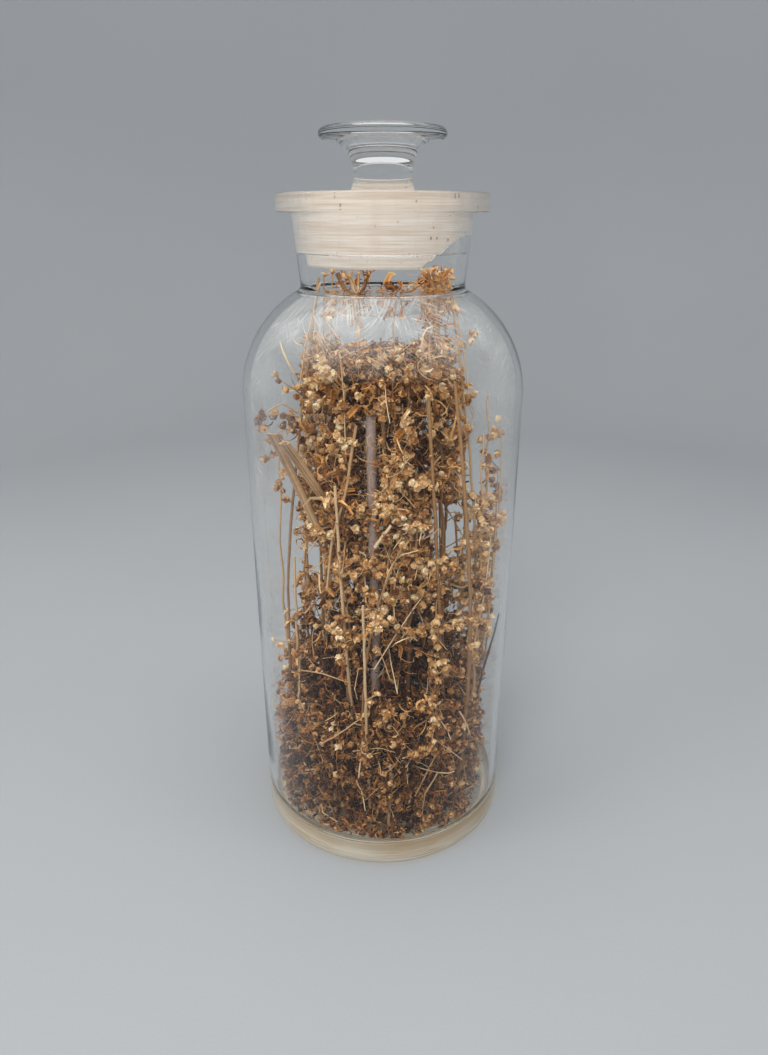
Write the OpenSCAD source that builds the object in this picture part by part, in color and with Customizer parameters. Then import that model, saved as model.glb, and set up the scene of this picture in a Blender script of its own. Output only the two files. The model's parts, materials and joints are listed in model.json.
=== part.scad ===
// Wide-mouth apothecary bottle of clear glass with a ground-in disc stopper,
// holding dried flowering herb sprigs. Millimetres, +Z up, origin in the middle
// of the face that it stands on. The front of the bottle looks along -Y.

/* [Body] */
// Outside diameter of the straight body
body_d = 115; // [105:1:125]
// Height at which the straight side turns into the shoulder
body_h = 202; // [180:1:225]
// Thickness of the side wall
wall_t = 2.8; // [2.2:0.1:3.6]
// Thickness of the base at the standing ring
base_t = 7.5; // [6:0.1:9]
// Outside radius of the heel
heel_r = 4; // [2:0.5:6]
// Inside radius where the floor meets the wall
inner_heel_r = 9; // [6:0.5:11]
// Inner diameter of the ring that the bottle stands on
ring_d = 92; // [84:1:96]
// Height of the shallow hollow inside that ring
punt_h = 2.5; // [1:0.1:3.5]

/* [Shoulder and neck] */
// Outside radius of the round shoulder
shoulder_r = 46.5; // [44:0.5:48]
// Outside diameter of the neck where it leaves the shoulder
neck_d = 64.5; // [63:0.5:67]
// Outside diameter of the neck under the lip
neck_top_d = 69.6; // [68:0.2:72]
// Height from the foot of the neck to the top of the lip
neck_h = 34.1; // [31:0.1:38]
// Radius of the fillet between shoulder and neck
neck_fillet_r = 3; // [1:0.5:5]
// Inside diameter of the throat, where the neck opens into the shoulder
throat_d = 57.6; // [55:0.2:58.4]
// Rounding of the throat's edge
throat_edge_r = 1.5; // [0.5:0.1:2]

/* [Lip] */
// Diameter of the flat lip
lip_d = 81.6; // [77:0.2:86]
// Thickness of the lip
lip_t = 6.7; // [5:0.1:8]
// Rounding of the lip's upper and lower edge
lip_edge_r = 1.2; // [0.4:0.1:2]
// Radius of the fillet under the lip
lip_fillet_r = 2; // [0.5:0.1:3]

/* [Ground joint] */
// Diameter of the ground plug, level with the top of the lip
plug_d = 61.7; // [60.8:0.1:62.4]
// Length along which the joint narrows by one millimetre in diameter
taper = 10; // [9:0.5:14]
// Length of the plug below the top of the lip
plug_h = 25.5; // [23:0.5:28]
// Length of the ground zone in the neck
ground_h = 20.5; // [17:0.5:21.5]
// Gap between plug and ground zone, measured radially
joint_gap = 0.12; // [0.08:0.01:0.2]
// How far the clear bore stands back below the ground zone
bore_relief = 0.4; // [0.2:0.05:0.6]
// Bevel round the mouth and round the bottom of the plug
joint_bevel = 0.8; // [0.3:0.1:1.2]

/* [Stopper] */
// Height of the dished underside of the plug
dish_h = 1.5; // [0.5:0.1:3]
// Rise of the plug's top from the lip to the stem
crown_h = 1.6; // [0.5:0.1:2.5]
// Diameter of the stem at its waist
waist_d = 22.1; // [19:0.1:25]
// Radius of the curve that hollows the stem
waist_r = 12.8; // [11:0.1:14]
// Height of the waist above the top of the lip
waist_h = 6.5; // [5.5:0.1:7.5]
// Diameter of the disc knob
knob_d = 47.7; // [44:0.1:52]
// Thickness of the knob at its rim
knob_t = 3.9; // [3:0.1:5]
// Rounding of the knob's rim
knob_edge_r = 1.9; // [1:0.1:1.9]
// Height of the knob's underside above the top of the lip
knob_h = 18.1; // [17:0.1:20]
// Rise of the knob's top
knob_crown_h = 2; // [0.5:0.1:3]

/* [Chip in the plug] */
// Direction of the chip, from the front towards the right
chip_turn = 80; // [60:1:100]
// Height of the chip above the bottom of the plug
chip_h = 10.4; // [6:0.1:12]
// Depth of the chip along the bottom of the plug
chip_run = 16.2; // [10:0.1:18]
// Radius of its shell-shaped face
chip_face_r = 90; // [60:1:140]
// How much deeper the middle of the face lies than a flat break
chip_scoop = 1.5; // [0.5:0.1:2]

/* [Herbs] */
// Thickness of a sprig's stalk at its foot
stalk_d = 2.4; // [1.8:0.1:2.8]
// Thickness of the stalk at its tip
stalk_tip_d = 1.4; // [1.1:0.1:1.8]
// How far a sprig's stalk bows outwards
stalk_bow = 3; // [1:0.5:3.5]
// How far its nodes stand off a straight line
zigzag = 0.6; // [0.2:0.1:0.8]
// Thickness of a side twig
twig_d = 0.9; // [0.7:0.1:1.2]
// Length of a side twig
twig_l = 7.4; // [6.6:0.1:7.6]
// Angle at which side twigs rise
twig_rise = 48; // [46:1:56]
// Diameter of a flower head
head_d = 3.6; // [3.2:0.1:3.8]
// Diameter of the head in the fork of each twig
root_d = 4.2; // [4.1:0.1:4.6]
// Diameter of the bud halfway along each twig
bud_d = 2.2; // [1.8:0.1:2.6]
// Number of loose flower heads on the floor
loose_count = 34; // [10:1:40]
// Room between the loose heads and the ring of stalks round them
loose_gap = 1; // [0.5:0.1:3]
// Room between the tips of the neck sprigs and the plug
plug_room = 4; // [2:0.5:8]
// Play between the herbs and the glass that carries them
rest_gap = 0.15; // [0.05:0.01:0.25]

/* [Bare stalks] */
// Thickness of the thickest long bare stalks
long_stalk_d = 1.6; // [1.2:0.1:1.8]
// Thickness of the two cut stalks
cut_stalk_d = 3.6; // [3:0.1:4]
// Length of the two cut stalks
cut_stalk_l = 54; // [40:1:58]
// Slant of their cut ends
cut_slant = 35; // [0:1:50]
// Thickness of the broad stalk
broad_stalk_d = 4.6; // [3.6:0.1:5]
// Height of the broad stalk
broad_stalk_h = 188; // [120:1:200]
// Thickness of the grass stem
grass_d = 1.4; // [1:0.1:1.8]
// Height of the grass stem
grass_h = 143; // [90:1:160]
// How far the grass stem's tip hangs over to the right
grass_lean = 17; // [5:1:22]
// How far the grass stem bows out towards the front wall
grass_bow = 6; // [1:0.5:7]
// Thickness of the dark twig
dark_twig_d = 1.6; // [1:0.1:2]
// Height of the dark twig
dark_twig_h = 97; // [70:1:120]

/* [Hidden] */
$fn = 48;
golden = 137.508;

body_r = body_d / 2;
inner_r = body_r - wall_t;
floor_z = base_t;
shoulder = [body_r - shoulder_r, body_h];
shoulder_in_r = shoulder_r - wall_t;
neck_z = body_h + arc_rise(shoulder_r, neck_d / 2);
mouth_z = neck_z + neck_h;
lip_z = mouth_z - lip_t;
neck_slope = (neck_top_d - neck_d) / 2 / (lip_z - neck_z);

plug_z = mouth_z - plug_h;
plug_top_z = mouth_z - joint_bevel / 2;
ground_z = mouth_z - ground_h;
relief_z = ground_z - bore_relief;
relief_r = plug_r(ground_z) + joint_gap + bore_relief;
throat_r = throat_d / 2;
throat_z = body_h + arc_rise(shoulder_in_r, throat_r);
throat_slope = (relief_r - throat_r) / (relief_z - throat_z);

waist = [waist_d / 2 + waist_r, mouth_z + waist_h];
knob_z = mouth_z + knob_h;
knob_flat_r = knob_d / 2 - knob_edge_r;

floor_r = inner_r - inner_heel_r;
cut_point = cut_stalk_d / 2 * tan(cut_slant);

// Distances from the edge of the flat floor to the feet of the sprigs by the wall
// and to the ring of feet in the middle, with the patch of loose heads inside it
wall_in = 3;
ring_in = 18;
loose_r = floor_r - ring_in - node_d(broad_stalk_d) / 2 - head_d / 2 - loose_gap;
neck_tip_z = plug_z - plug_room;

// Place of the bud along its twig
bud_share = 0.53;
// Share of a cut stalk's point that faces the wall
point_share = 0.6;
// Azimuth of the grass stem's foot, its distance from the floor's edge, how far
// round a wave its bow runs, and how many straight pieces it is made of
grass_turn = -14;
grass_in = 7;
grass_wave = 110;
grass_steps = 9;
// Azimuth of the dark twig and the distance of its foot from the floor's edge
dark_turn = 76;
dark_in = 9;
// Azimuth of the broad stalk's foot, the height of its node as a share of its
// own, and how far it leans to the left
broad_turn = -5.5;
broad_node = 0.52;
broad_lean = 2;

// Number of straight pieces in a long bare stalk
long_steps = 6;

// Steps of the curves in the sections of the glass
edge_steps = 6;
dome_steps = 10;
curve_steps = 24;

// One row a sprig: azimuth of its foot, distance of the foot from the edge of
// the flat floor, azimuth of its tip, distance of the tip from the wall (from
// the throat where the sprig reaches up the neck), height of the tip, where its
// twigs begin and end as shares of the stalk, and how many twigs it bears.
wall_sprigs = [
    [3, wall_in, 5, 14, room(0.34), 0.2, 0.96, 7],
    [33, wall_in, 30, 12, room(0.42), 0.2, 0.96, 8],
    [61, wall_in, 61, 10, room(0.94), 0.24, 0.98, 13],
    [93, wall_in, 94, 10, room(0.99), 0.2, 0.98, 14],
    [120, wall_in, 122, 10, room(0.86), 0.28, 0.98, 11],
    [148, wall_in, 150, 10, room(0.66), 0.28, 0.98, 9],
    [178, wall_in, 176, 10, room(0.8), 0.28, 0.98, 10],
    [208, wall_in, 206, 10, room(0.6), 0.28, 0.98, 8],
    [238, wall_in, 236, 10, room(0.74), 0.34, 0.98, 9],
    [268, wall_in, 266, 10, room(0.92), 0.4, 0.98, 9],
    [300, wall_in, 300, 13, room(0.42), 0.2, 0.96, 8],
    [330, wall_in, 330, 14, room(0.36), 0.2, 0.96, 7],
];
clump_sprigs = [
    [22, ring_in, 20, 26, room(1.06), 0.42, 0.97, 13],
    [112, ring_in, 112, 26, room(1.1), 0.42, 0.99, 12],
    [160, ring_in, 160, 26, room(1.07), 0.42, 0.99, 12],
    [208, ring_in, 206, 26, room(1.09), 0.42, 0.99, 12],
    [327, ring_in, 330, 26, room(1.03), 0.42, 0.97, 12],
    [8, 16, 358, 33, room(1.1), 0.91, 0.97, 3],
    [89, 14, 92, 33, room(1.09), 0.86, 0.97, 4],
    [197, ring_in, 182, 33.5, room(1.1), 0.87, 0.97, 4],
    [257, 16, 263, 30, room(1.09), 0.945, 0.975, 2],
];
neck_sprigs = [
    [66, ring_in, 66, 5.5, neck_tip_z, 0.5, 0.82, 9],
    [246, ring_in, 244, 5.5, neck_tip_z, 0.5, 0.82, 9],
    [280, ring_in, 284, 5.5, neck_tip_z, 0.5, 0.82, 9],
];

// One row a cut stalk: azimuth and height of its tip at the wall, azimuth and
// rise of the way it slants down from there, and its share of the full length
cut_stalks = [
    [309, room(0.955), 132, -67, 1],
    [317, room(0.945), 146, -54, 0.62],
];

// One row a long bare stalk: azimuth of its foot, distance of the foot from the
// edge of the flat floor, azimuth of its tip, distance of the tip from the wall
// (from the throat where it reaches up the neck), height of the tip, how far it
// bows outwards, and its thickness as a share of the thickest.
long_stalks = [
    [53, wall_in, 35, 9.5, room(1.06), 8, 1],
    [53, 7, 25, 15, room(1.03), 0.5, 1],
    [283, 5, 302, 11.5, room(0.67), 0.5, 0.8],
    [288, wall_in, 293, 3, neck_tip_z, 9, 0.75],
    [70, 5, 75, 2.5, neck_tip_z, 9, 0.75],
    [341, 14, 332, 15.5, room(0.85), 1.5, 0.95],
    [353, wall_in, 351, 5.5, room(0.62), 2, 0.8],
    [182, 14, 158, 10.5, room(1.02), 1, 1],
    [233, 5, 224, 4, room(1.05), 7, 1],
];

WALL_NODES = [for (i = [1:len(wall_sprigs)]) str("wall_sprig_", i)];
CLUMP_NODES = [for (i = [1:len(clump_sprigs)]) str("clump_sprig_", i)];
NECK_NODES = [for (i = [1:len(neck_sprigs)]) str("neck_sprig_", i)];
CUT_NODES = [for (i = [1:len(cut_stalks)]) str("cut_stalk_", i)];
LONG_NODES = [for (i = [1:len(long_stalks)]) str("long_stalk_", i)];

glass_colour = [0.82, 0.87, 0.86, 0.4];
ground_colour = [0.93, 0.89, 0.84, 0.75];
straw = [0.72, 0.52, 0.29];
russet = [0.60, 0.36, 0.18];
tan_stalk = [0.74, 0.58, 0.38];
grey_stalk = [0.50, 0.41, 0.37];
dark_stalk = [0.22, 0.15, 0.12];

// Height of a shoulder arc of radius r above the straight side, at distance x from the axis
function arc_rise(r, x) = sqrt(r * r - pow(x - shoulder.x, 2));

// Radius of the plug at height z
function plug_r(z) = plug_d / 2 - (mouth_z - z) / (2 * taper);

// Height inside the straight body, as a share of its room
function room(share) = floor_z + (body_h - floor_z) * share;

// Points of an arc between two angles
function arc(centre, r, from, to, steps) =
    [for (i = [0:steps]) let (a = from + (to - from) * i / steps) centre + r * [cos(a), sin(a)]];

// Points of a dome that rises by h over the radius r, from the rim to the axis
function dome(r, z, h, steps) =
    let (big = (r * r + h * h) / (2 * h)) arc([0, z + h - big], big, acos(r / big), 90, steps);

// Centre of a fillet of radius f on the outer side of both the shoulder arc of
// radius r and the line that leaves it at [x, z] and runs outwards by slope
function fillet_centre(r, x, z, slope, f) =
    let (a = x - shoulder.x + slope * (body_h - z) + f * sqrt(1 + slope * slope),
         q = 1 + slope * slope,
         u = (-a * slope + sqrt(q * pow(r + f, 2) - a * a)) / q)
    shoulder + [a + slope * u, u];

// Direction from the shoulder's centre to a point, in degrees
function shoulder_angle(p) = atan2(p.y - shoulder.y, p.x - shoulder.x);

function reversed(list) = [for (i = [len(list) - 1:-1:0]) list[i]];

// Sections of the glass, with the distance from the axis along X and the height along Y

neck_fillet = fillet_centre(shoulder_r, neck_d / 2, neck_z, neck_slope, neck_fillet_r);
throat_edge = fillet_centre(shoulder_in_r, throat_r, throat_z, throat_slope, throat_edge_r);
lip_fillet = [neck_top_d / 2 - neck_slope * lip_fillet_r + lip_fillet_r, lip_z - lip_fillet_r];

bottle_outside = concat(
    reversed(dome(ring_d / 2, 0, punt_h, dome_steps)),
    arc([body_r - heel_r, heel_r], heel_r, -90, 0, edge_steps),
    arc(shoulder, shoulder_r, 0, shoulder_angle(neck_fillet), curve_steps),
    arc(neck_fillet, neck_fillet_r, 180 + shoulder_angle(neck_fillet), 180 - atan(neck_slope), edge_steps),
    arc(lip_fillet, lip_fillet_r, 180 - atan(neck_slope), 90, edge_steps),
    arc([lip_d / 2 - lip_edge_r, lip_z + lip_edge_r], lip_edge_r, -90, 0, edge_steps),
    arc([lip_d / 2 - lip_edge_r, mouth_z - lip_edge_r], lip_edge_r, 0, 90, edge_steps)
);
bottle_inside = concat(
    [
        [plug_r(mouth_z) + joint_gap + joint_bevel, mouth_z],
        [plug_r(mouth_z - joint_bevel) + joint_gap, mouth_z - joint_bevel],
        [plug_r(ground_z) + joint_gap, ground_z],
        [relief_r, relief_z],
    ],
    arc(throat_edge, throat_edge_r, 180 - atan(throat_slope), 180 + shoulder_angle(throat_edge), edge_steps),
    arc(shoulder, shoulder_in_r, shoulder_angle(throat_edge), 0, curve_steps),
    arc([inner_r - inner_heel_r, floor_z + inner_heel_r], inner_heel_r, 0, -90, dome_steps),
    [[0, floor_z]]
);

waist_foot = waist.x - sqrt(waist_r * waist_r - pow(waist.y - plug_top_z - crown_h, 2));
plug_section = concat(
    reversed(dome(plug_r(plug_z) - 2 * joint_bevel, plug_z, dish_h, dome_steps)),
    [
        [plug_r(plug_z) - joint_bevel, plug_z],
        [plug_r(plug_z + joint_bevel), plug_z + joint_bevel],
    ],
    [for (p = dome(plug_r(plug_top_z), plug_top_z, crown_h, dome_steps)) if (p.x > waist_foot + joint_bevel) p]
);
knob_section = concat(
    arc(waist, waist_r, 180 + asin((waist.y - plug_top_z - crown_h) / waist_r),
        180 - asin((knob_z - waist.y) / waist_r), curve_steps),
    arc([knob_flat_r, knob_z + knob_edge_r], knob_edge_r, -90, 0, edge_steps),
    arc([knob_flat_r, knob_z + knob_t - knob_edge_r], knob_edge_r, 0, 90, edge_steps),
    dome(knob_flat_r, knob_z + knob_t, knob_crown_h, dome_steps)
);

module bottle() {
    color(glass_colour) rotate_extrude() polygon(concat(bottle_outside, bottle_inside));
}

// Ball whose upper left face is the break across the foot of the plug
module chip_ball() {
    fall = [chip_h, -chip_run] / norm([chip_h, chip_run]);
    middle = [plug_r(plug_z) - chip_run / 2, plug_z + chip_h / 2];
    centre = middle + fall * (chip_face_r - chip_scoop);
    translate(at(chip_turn, centre.x, centre.y)) sphere(chip_face_r, $fn = 180);
}

module stopper() {
    color(ground_colour) difference() {
        rotate_extrude() polygon(concat(plug_section, knob_section));
        chip_ball();
    }
}

// Herbs. An azimuth turns from the front of the bottle towards its right.

// Point at an azimuth, a radius and a height
function at(turn, r, z) = [r * sin(turn), -r * cos(turn), z];

// Point on the axis of a stalk of thickness d that stands on the flat floor
function foot_at(turn, inset, d) = at(turn, floor_r - inset, floor_z + node_d(d) / 2 + rest_gap);

// Stalk's node, a little thicker than the stalk
function node_d(d) = d * 1.2;

function tip_at(s) = at(s[2], (s[4] > body_h + shoulder_in_r / 2 ? throat_r : inner_r) - s[3], s[4]);

// Shares of the stalk at which it has a node: its foot, then each twig's root
function shares(s) = concat([0], [for (j = [0:s[7] - 1]) s[5] + (s[6] - s[5]) * j / (s[7] - 1)], [1]);

// Centre line of a sprig through its nodes, which stand a little to either side
function joints(s) =
    let (foot = foot_at(s[0], s[1], stalk_d), tip = tip_at(s))
    [for (i = [0:s[7] + 1]) let (t = shares(s)[i])
        foot + (tip - foot) * t + at(s[0] + i * golden, i == 0 || t == 1 ? 0 : zigzag, 0)
        + at((s[0] + s[2]) / 2, stalk_bow * sin(180 * t), 0)];

// Rods of a sprig, each [from, to, thickness]: its stalk thins out from node to node
function sprig_rods(s) =
    let (p = joints(s), n = len(p) - 1)
    concat(
        [for (i = [0:n - 1]) [p[i], p[i + 1], stalk_d + (stalk_tip_d - stalk_d) * i / n]],
        [for (i = [1:n - 1]) [p[i], p[i] + twig_way(s, i), twig_d]]
    );

// Balls, each [centre, diameter, azimuth, rise of the side that no rod meets]: the
// foot and the tip, then a head at each root, on each twig and at each twig's end
function sprig_balls(s) =
    let (p = joints(s), n = len(p) - 1)
    concat(
        [[p[0], node_d(stalk_d), 0, -45], [p[n], head_d, 0, 90]],
        [for (i = [1:n - 1]) [p[i], root_d, twig_turn(s, i), 180]],
        [for (i = [1:n - 1]) [p[i] + twig_way(s, i) * bud_share, bud_d, twig_turn(s, i), twig_rise - 90]],
        [for (i = [1:n - 1]) [p[i] + twig_way(s, i), head_d, twig_turn(s, i), twig_rise]]
    );

// Azimuth of the twig that leaves node i, each turned on from the one below
function twig_turn(s, i) = s[0] + 90 + i * golden;

// From the root to the end of the twig that leaves node i
function twig_way(s, i) = twig_l * at(twig_turn(s, i), cos(twig_rise), sin(twig_rise));

// Thickness and centre line of a long bare stalk, which bows out between its ends
function long_d(s) = long_stalk_d * s[6];
function long_points(s) =
    let (foot = foot_at(s[0], s[1], long_d(s)), tip = tip_at(s))
    [for (i = [0:long_steps]) let (t = i / long_steps)
        foot + (tip - foot) * t + at((s[0] + s[2]) / 2, s[5] * sin(180 * t), 0)];

// Ends of a cut stalk, the upper one at the wall
function cut_stalk_ends(c) =
    let (reach = cut_stalk_d / 2 * abs(sin(c[3])) + point_share * cut_point * cos(c[3]),
         tip = at(c[0], inner_r - rest_gap - reach, c[1]))
    [tip + cut_stalk_l * c[4] * at(c[2], cos(c[3]), sin(c[3])), tip];

// Centre line of the grass stem, which rises by the front wall and hangs over at its tip
function grass_points() =
    let (foot = foot_at(grass_turn, grass_in, grass_d))
    [for (i = [0:grass_steps]) let (t = i / grass_steps)
        foot + [grass_lean * pow(t, 4), -grass_bow * sin(grass_wave * t), grass_h * t]];

// Ends of the dark twig, which leans against the wall
function dark_twig_ends() =
    [foot_at(dark_turn, dark_in, dark_twig_d),
     at(dark_turn, inner_r - rest_gap - node_d(dark_twig_d) / 2, floor_z + dark_twig_h)];

// Centre line of the broad stalk, which leans over more above its one node
function broad_stalk_points() =
    let (foot = foot_at(broad_turn, ring_in, broad_stalk_d))
    [foot, foot + [-broad_lean / 3, 0, broad_stalk_h * broad_node], foot + [-broad_lean, 0, broad_stalk_h]];

// Centre of loose head i, the heads lying apart on the floor in a widening spiral
function loose_head(i) =
    at(i * golden, loose_r * sqrt((i + 0.5) / loose_count), floor_z + head_d / 2 + rest_gap);

// Six-sided rod of thickness d from a to b
module rod(a, b, d) {
    v = b - a;
    translate(a) rotate([0, acos(v.z / norm(v)), atan2(v.y, v.x)]) cylinder(h = norm(v), d = d, $fn = 6);
}

// Round head at p, lying on its side with its seam turned away from the rods that enter it
module head(p, d, turn, rise) {
    translate(p) rotate([0, 0, turn - 90]) rotate([90, -rise, 0]) sphere(d = d);
}

// Rods from point to point, joined by balls
module cane(points, d) {
    for (i = [1:len(points) - 1]) rod(points[i - 1], points[i], d);
    for (p = points) head(p, node_d(d), 0, 0);
}

module sprig(s) {
    for (r = sprig_rods(s)) rod(r[0], r[1], r[2]);
    for (b = sprig_balls(s)) head(b[0], b[1], b[2], b[3]);
}

module wall_sprig(i) {
    color(i % 2 == 0 ? straw : russet) sprig(wall_sprigs[i - 1]);
}

module clump_sprig(i) {
    color(i % 2 == 0 ? russet : straw) sprig(clump_sprigs[i - 1]);
}

module neck_sprig(i) {
    color(straw) sprig(neck_sprigs[i - 1]);
}

// Round stalk with both ends cut at a slant
module cut_stalk(i) {
    ends = cut_stalk_ends(cut_stalks[i - 1]);
    v = ends[1] - ends[0];
    length = norm(v);
    block = cut_stalk_d * 4;
    color(tan_stalk) translate(ends[0]) rotate([0, acos(v.z / length), atan2(v.y, v.x)]) difference() {
        translate([0, 0, -cut_point]) cylinder(h = length + 2 * cut_point, d = cut_stalk_d);
        for (z = [0, length])
            translate([0, 0, z]) rotate([cut_slant, 0, 0])
                translate([-block / 2, -block / 2, z == 0 ? -block : 0]) cube(block);
    }
}

module long_stalk(i) {
    color(tan_stalk) cane(long_points(long_stalks[i - 1]), long_d(long_stalks[i - 1]));
}

module broad_stalk() {
    color(grey_stalk) cane(broad_stalk_points(), broad_stalk_d);
}

module grass_stem() {
    color(tan_stalk) cane(grass_points(), grass_d);
}

module dark_twig() {
    color(dark_stalk) cane(dark_twig_ends(), dark_twig_d);
}

module loose_heads() {
    color(russet) for (i = [0:loose_count - 1]) translate(loose_head(i)) sphere(d = head_d);
}

bottle();
stopper();
for (i = [1:len(wall_sprigs)]) wall_sprig(i);
for (i = [1:len(clump_sprigs)]) clump_sprig(i);
for (i = [1:len(neck_sprigs)]) neck_sprig(i);
for (i = [1:len(cut_stalks)]) cut_stalk(i);
for (i = [1:len(long_stalks)]) long_stalk(i);
broad_stalk();
grass_stem();
dark_twig();
loose_heads();
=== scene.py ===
"""Looks of a glass apothecary bottle full of dried flowering herbs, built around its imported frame.

Everything is in metres in the frame of the part: +Z up, the front of the bottle looks along -Y, and an
azimuth turns from the front towards the bottle's right. The sizes repeat those of the part's source.
"""

from __future__ import annotations

import json
import logging
import math
import random
from dataclasses import dataclass, field
from enum import Enum, IntEnum
from typing import Any, Callable, Mapping, Optional, Sequence

import bmesh
import bpy
import numpy as np
from mathutils import Matrix, Vector

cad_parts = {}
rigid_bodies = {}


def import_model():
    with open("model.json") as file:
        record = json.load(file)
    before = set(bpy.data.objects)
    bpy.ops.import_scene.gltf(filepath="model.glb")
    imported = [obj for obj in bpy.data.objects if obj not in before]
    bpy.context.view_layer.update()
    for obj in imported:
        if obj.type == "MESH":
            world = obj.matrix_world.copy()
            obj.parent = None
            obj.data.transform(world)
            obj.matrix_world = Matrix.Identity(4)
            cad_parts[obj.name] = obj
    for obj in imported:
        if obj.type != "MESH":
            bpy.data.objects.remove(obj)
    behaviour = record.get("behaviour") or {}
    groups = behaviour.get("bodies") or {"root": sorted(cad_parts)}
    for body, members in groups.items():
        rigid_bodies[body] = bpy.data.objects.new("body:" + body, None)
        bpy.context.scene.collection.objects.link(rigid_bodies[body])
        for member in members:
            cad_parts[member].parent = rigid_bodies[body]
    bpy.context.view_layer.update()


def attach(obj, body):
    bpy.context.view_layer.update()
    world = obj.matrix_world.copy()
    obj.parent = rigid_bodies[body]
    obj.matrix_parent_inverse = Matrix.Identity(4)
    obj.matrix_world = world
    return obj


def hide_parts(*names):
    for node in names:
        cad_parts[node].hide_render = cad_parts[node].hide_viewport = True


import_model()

LOG = logging.getLogger("bottle")
MM = 0.001
GOLDEN = 137.508
GLASS_IOR = 1.5
SEAT_GAP = 0.15 * MM
HEAD_L = 3.05 * MM

Colour = tuple[float, float, float]
Profile = list[tuple[float, float]]
Box = tuple[float, float, float, float]
Socket = bpy.types.NodeSocket


class Part(IntEnum):
    """What a point of a herb's skeleton becomes."""

    TWIG = 0
    STALK = 1
    HEAD = 2
    LEAF = 3
    THREAD = 4


class Face(IntEnum):
    """Material places on the glass."""

    CLEAR = 0
    GROUND = 1
    BASE = 2


class Body(Enum):
    """Bodies of the frame."""

    BOTTLE = "bottle"
    STOPPER = "stopper"


class Slot(Enum):
    """Material slots of the record."""

    BOTTLE_GLASS = "bottle_glass"
    STOPPER_GLASS = "stopper_glass"
    FLOWERS = "dried_flowers"
    STALKS = "dried_stalks"
    DARK_STALKS = "dark_stalks"


# Node trees


class Nodes:
    """A short way to add and join the nodes of one tree."""

    def __init__(self, tree: bpy.types.NodeTree) -> None:
        """Takes the tree."""
        self.tree = tree

    def add(self, kind: str, feeds: Optional[Mapping[Any, Any]] = None, **settings: Any) -> bpy.types.Node:
        """Adds one node.

        Args:
            kind: The node's type name.
            feeds: What goes into its inputs, by name or number: an output socket or a plain value.
            settings: The node's own settings.

        Returns:
            The new node.
        """
        node = self.tree.nodes.new(kind)
        for name, value in settings.items():
            setattr(node, name, value)
        for key, value in (feeds or {}).items():
            socket = self.pick(node.inputs, key)
            if isinstance(value, Socket):
                self.tree.links.new(value, socket)
            else:
                socket.default_value = (*value, 1.0) if socket.type == "RGBA" else value
        return node

    @staticmethod
    def pick(sockets: Any, key: Any) -> Socket:
        """The socket of that number, or the first one in use of that name."""
        if isinstance(key, int):
            return sockets[key]
        return next(s for s in sockets if s.name == key and s.enabled)

    def out(self, kind: str, feeds: Optional[Mapping[Any, Any]] = None, **settings: Any) -> Socket:
        """Adds one node and gives its first output in use."""
        return next(s for s in self.add(kind, feeds, **settings).outputs if s.enabled)

    def math(self, operation: str, *terms: Any) -> Socket:
        """Adds a Math node on these terms."""
        return self.out("ShaderNodeMath", dict(enumerate(terms)), operation=operation)

    def vector(self, operation: str, feeds: Mapping[Any, Any]) -> Socket:
        """Adds a Vector Math node."""
        return self.out("ShaderNodeVectorMath", feeds, operation=operation)

    def group(self, tree: bpy.types.NodeTree, **feeds: Any) -> bpy.types.bpy_prop_collection:
        """Adds a shared group and gives its outputs."""
        return self.add("ShaderNodeGroup", feeds, node_tree=tree).outputs

    def spread(
        self, value: Any, low: float, high: float, to_low: float = 0.0, to_high: float = 1.0
    ) -> Socket:
        """Maps a value from one range to another, and holds it there."""
        feeds = {"Value": value, "From Min": low, "From Max": high, "To Min": to_low, "To Max": to_high}
        return self.out("ShaderNodeMapRange", feeds, clamp=True)

    def blend(self, factor: Any, first: Any, second: Any) -> Socket:
        """Mixes two colours."""
        return self.out("ShaderNodeMix", {"Factor": factor, "A": first, "B": second}, data_type="RGBA")

    def bump(self, height: Any, strength: float, distance: float) -> Socket:
        """Turns a height into a normal."""
        return self.out("ShaderNodeBump", {"Strength": strength, "Distance": distance, "Height": height})

    def ramp(self, factor: Any, stops: Sequence[tuple[float, Colour]]) -> Socket:
        """Adds a colour ramp with these stops."""
        node = self.add("ShaderNodeValToRGB", {0: factor})
        ends = node.color_ramp.elements
        for i, (place, colour) in enumerate(stops):
            stop = ends[i] if i < 2 else ends.new(place)
            stop.position, stop.color = place, (*colour, 1.0)
        return node.outputs[0]

    def noise(
        self, vector: Any, scale: float, detail: float = 3.0, rough: float = 0.5, warp: float = 0.0
    ) -> Socket:
        """Adds a noise texture and gives its factor."""
        feeds = {"Vector": vector, "Scale": scale, "Detail": detail, "Roughness": rough, "Distortion": warp}
        return self.out("ShaderNodeTexNoise", feeds)

    def stretched(self, vector: Any, scale: Sequence[float]) -> Socket:
        """Stretches a coordinate along its axes."""
        return self.out("ShaderNodeMapping", {"Vector": vector, "Scale": tuple(scale)})

    def split(self, vector: Any) -> bpy.types.bpy_prop_collection:
        """The three parts of a coordinate."""
        return self.add("ShaderNodeSeparateXYZ", {0: vector}).outputs

    def joined(self, x: Any, y: Any, z: Any) -> Socket:
        """A coordinate of three parts."""
        return self.out("ShaderNodeCombineXYZ", {0: x, 1: y, 2: z})


def linear(red: int, green: int, blue: int) -> Colour:
    """Scene colour of a screen colour given in 0 to 255."""
    parts = [c / 255 for c in (red, green, blue)]
    made = [c / 12.92 if c <= 0.04045 else ((c + 0.055) / 1.055) ** 2.4 for c in parts]
    return made[0], made[1], made[2]


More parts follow.
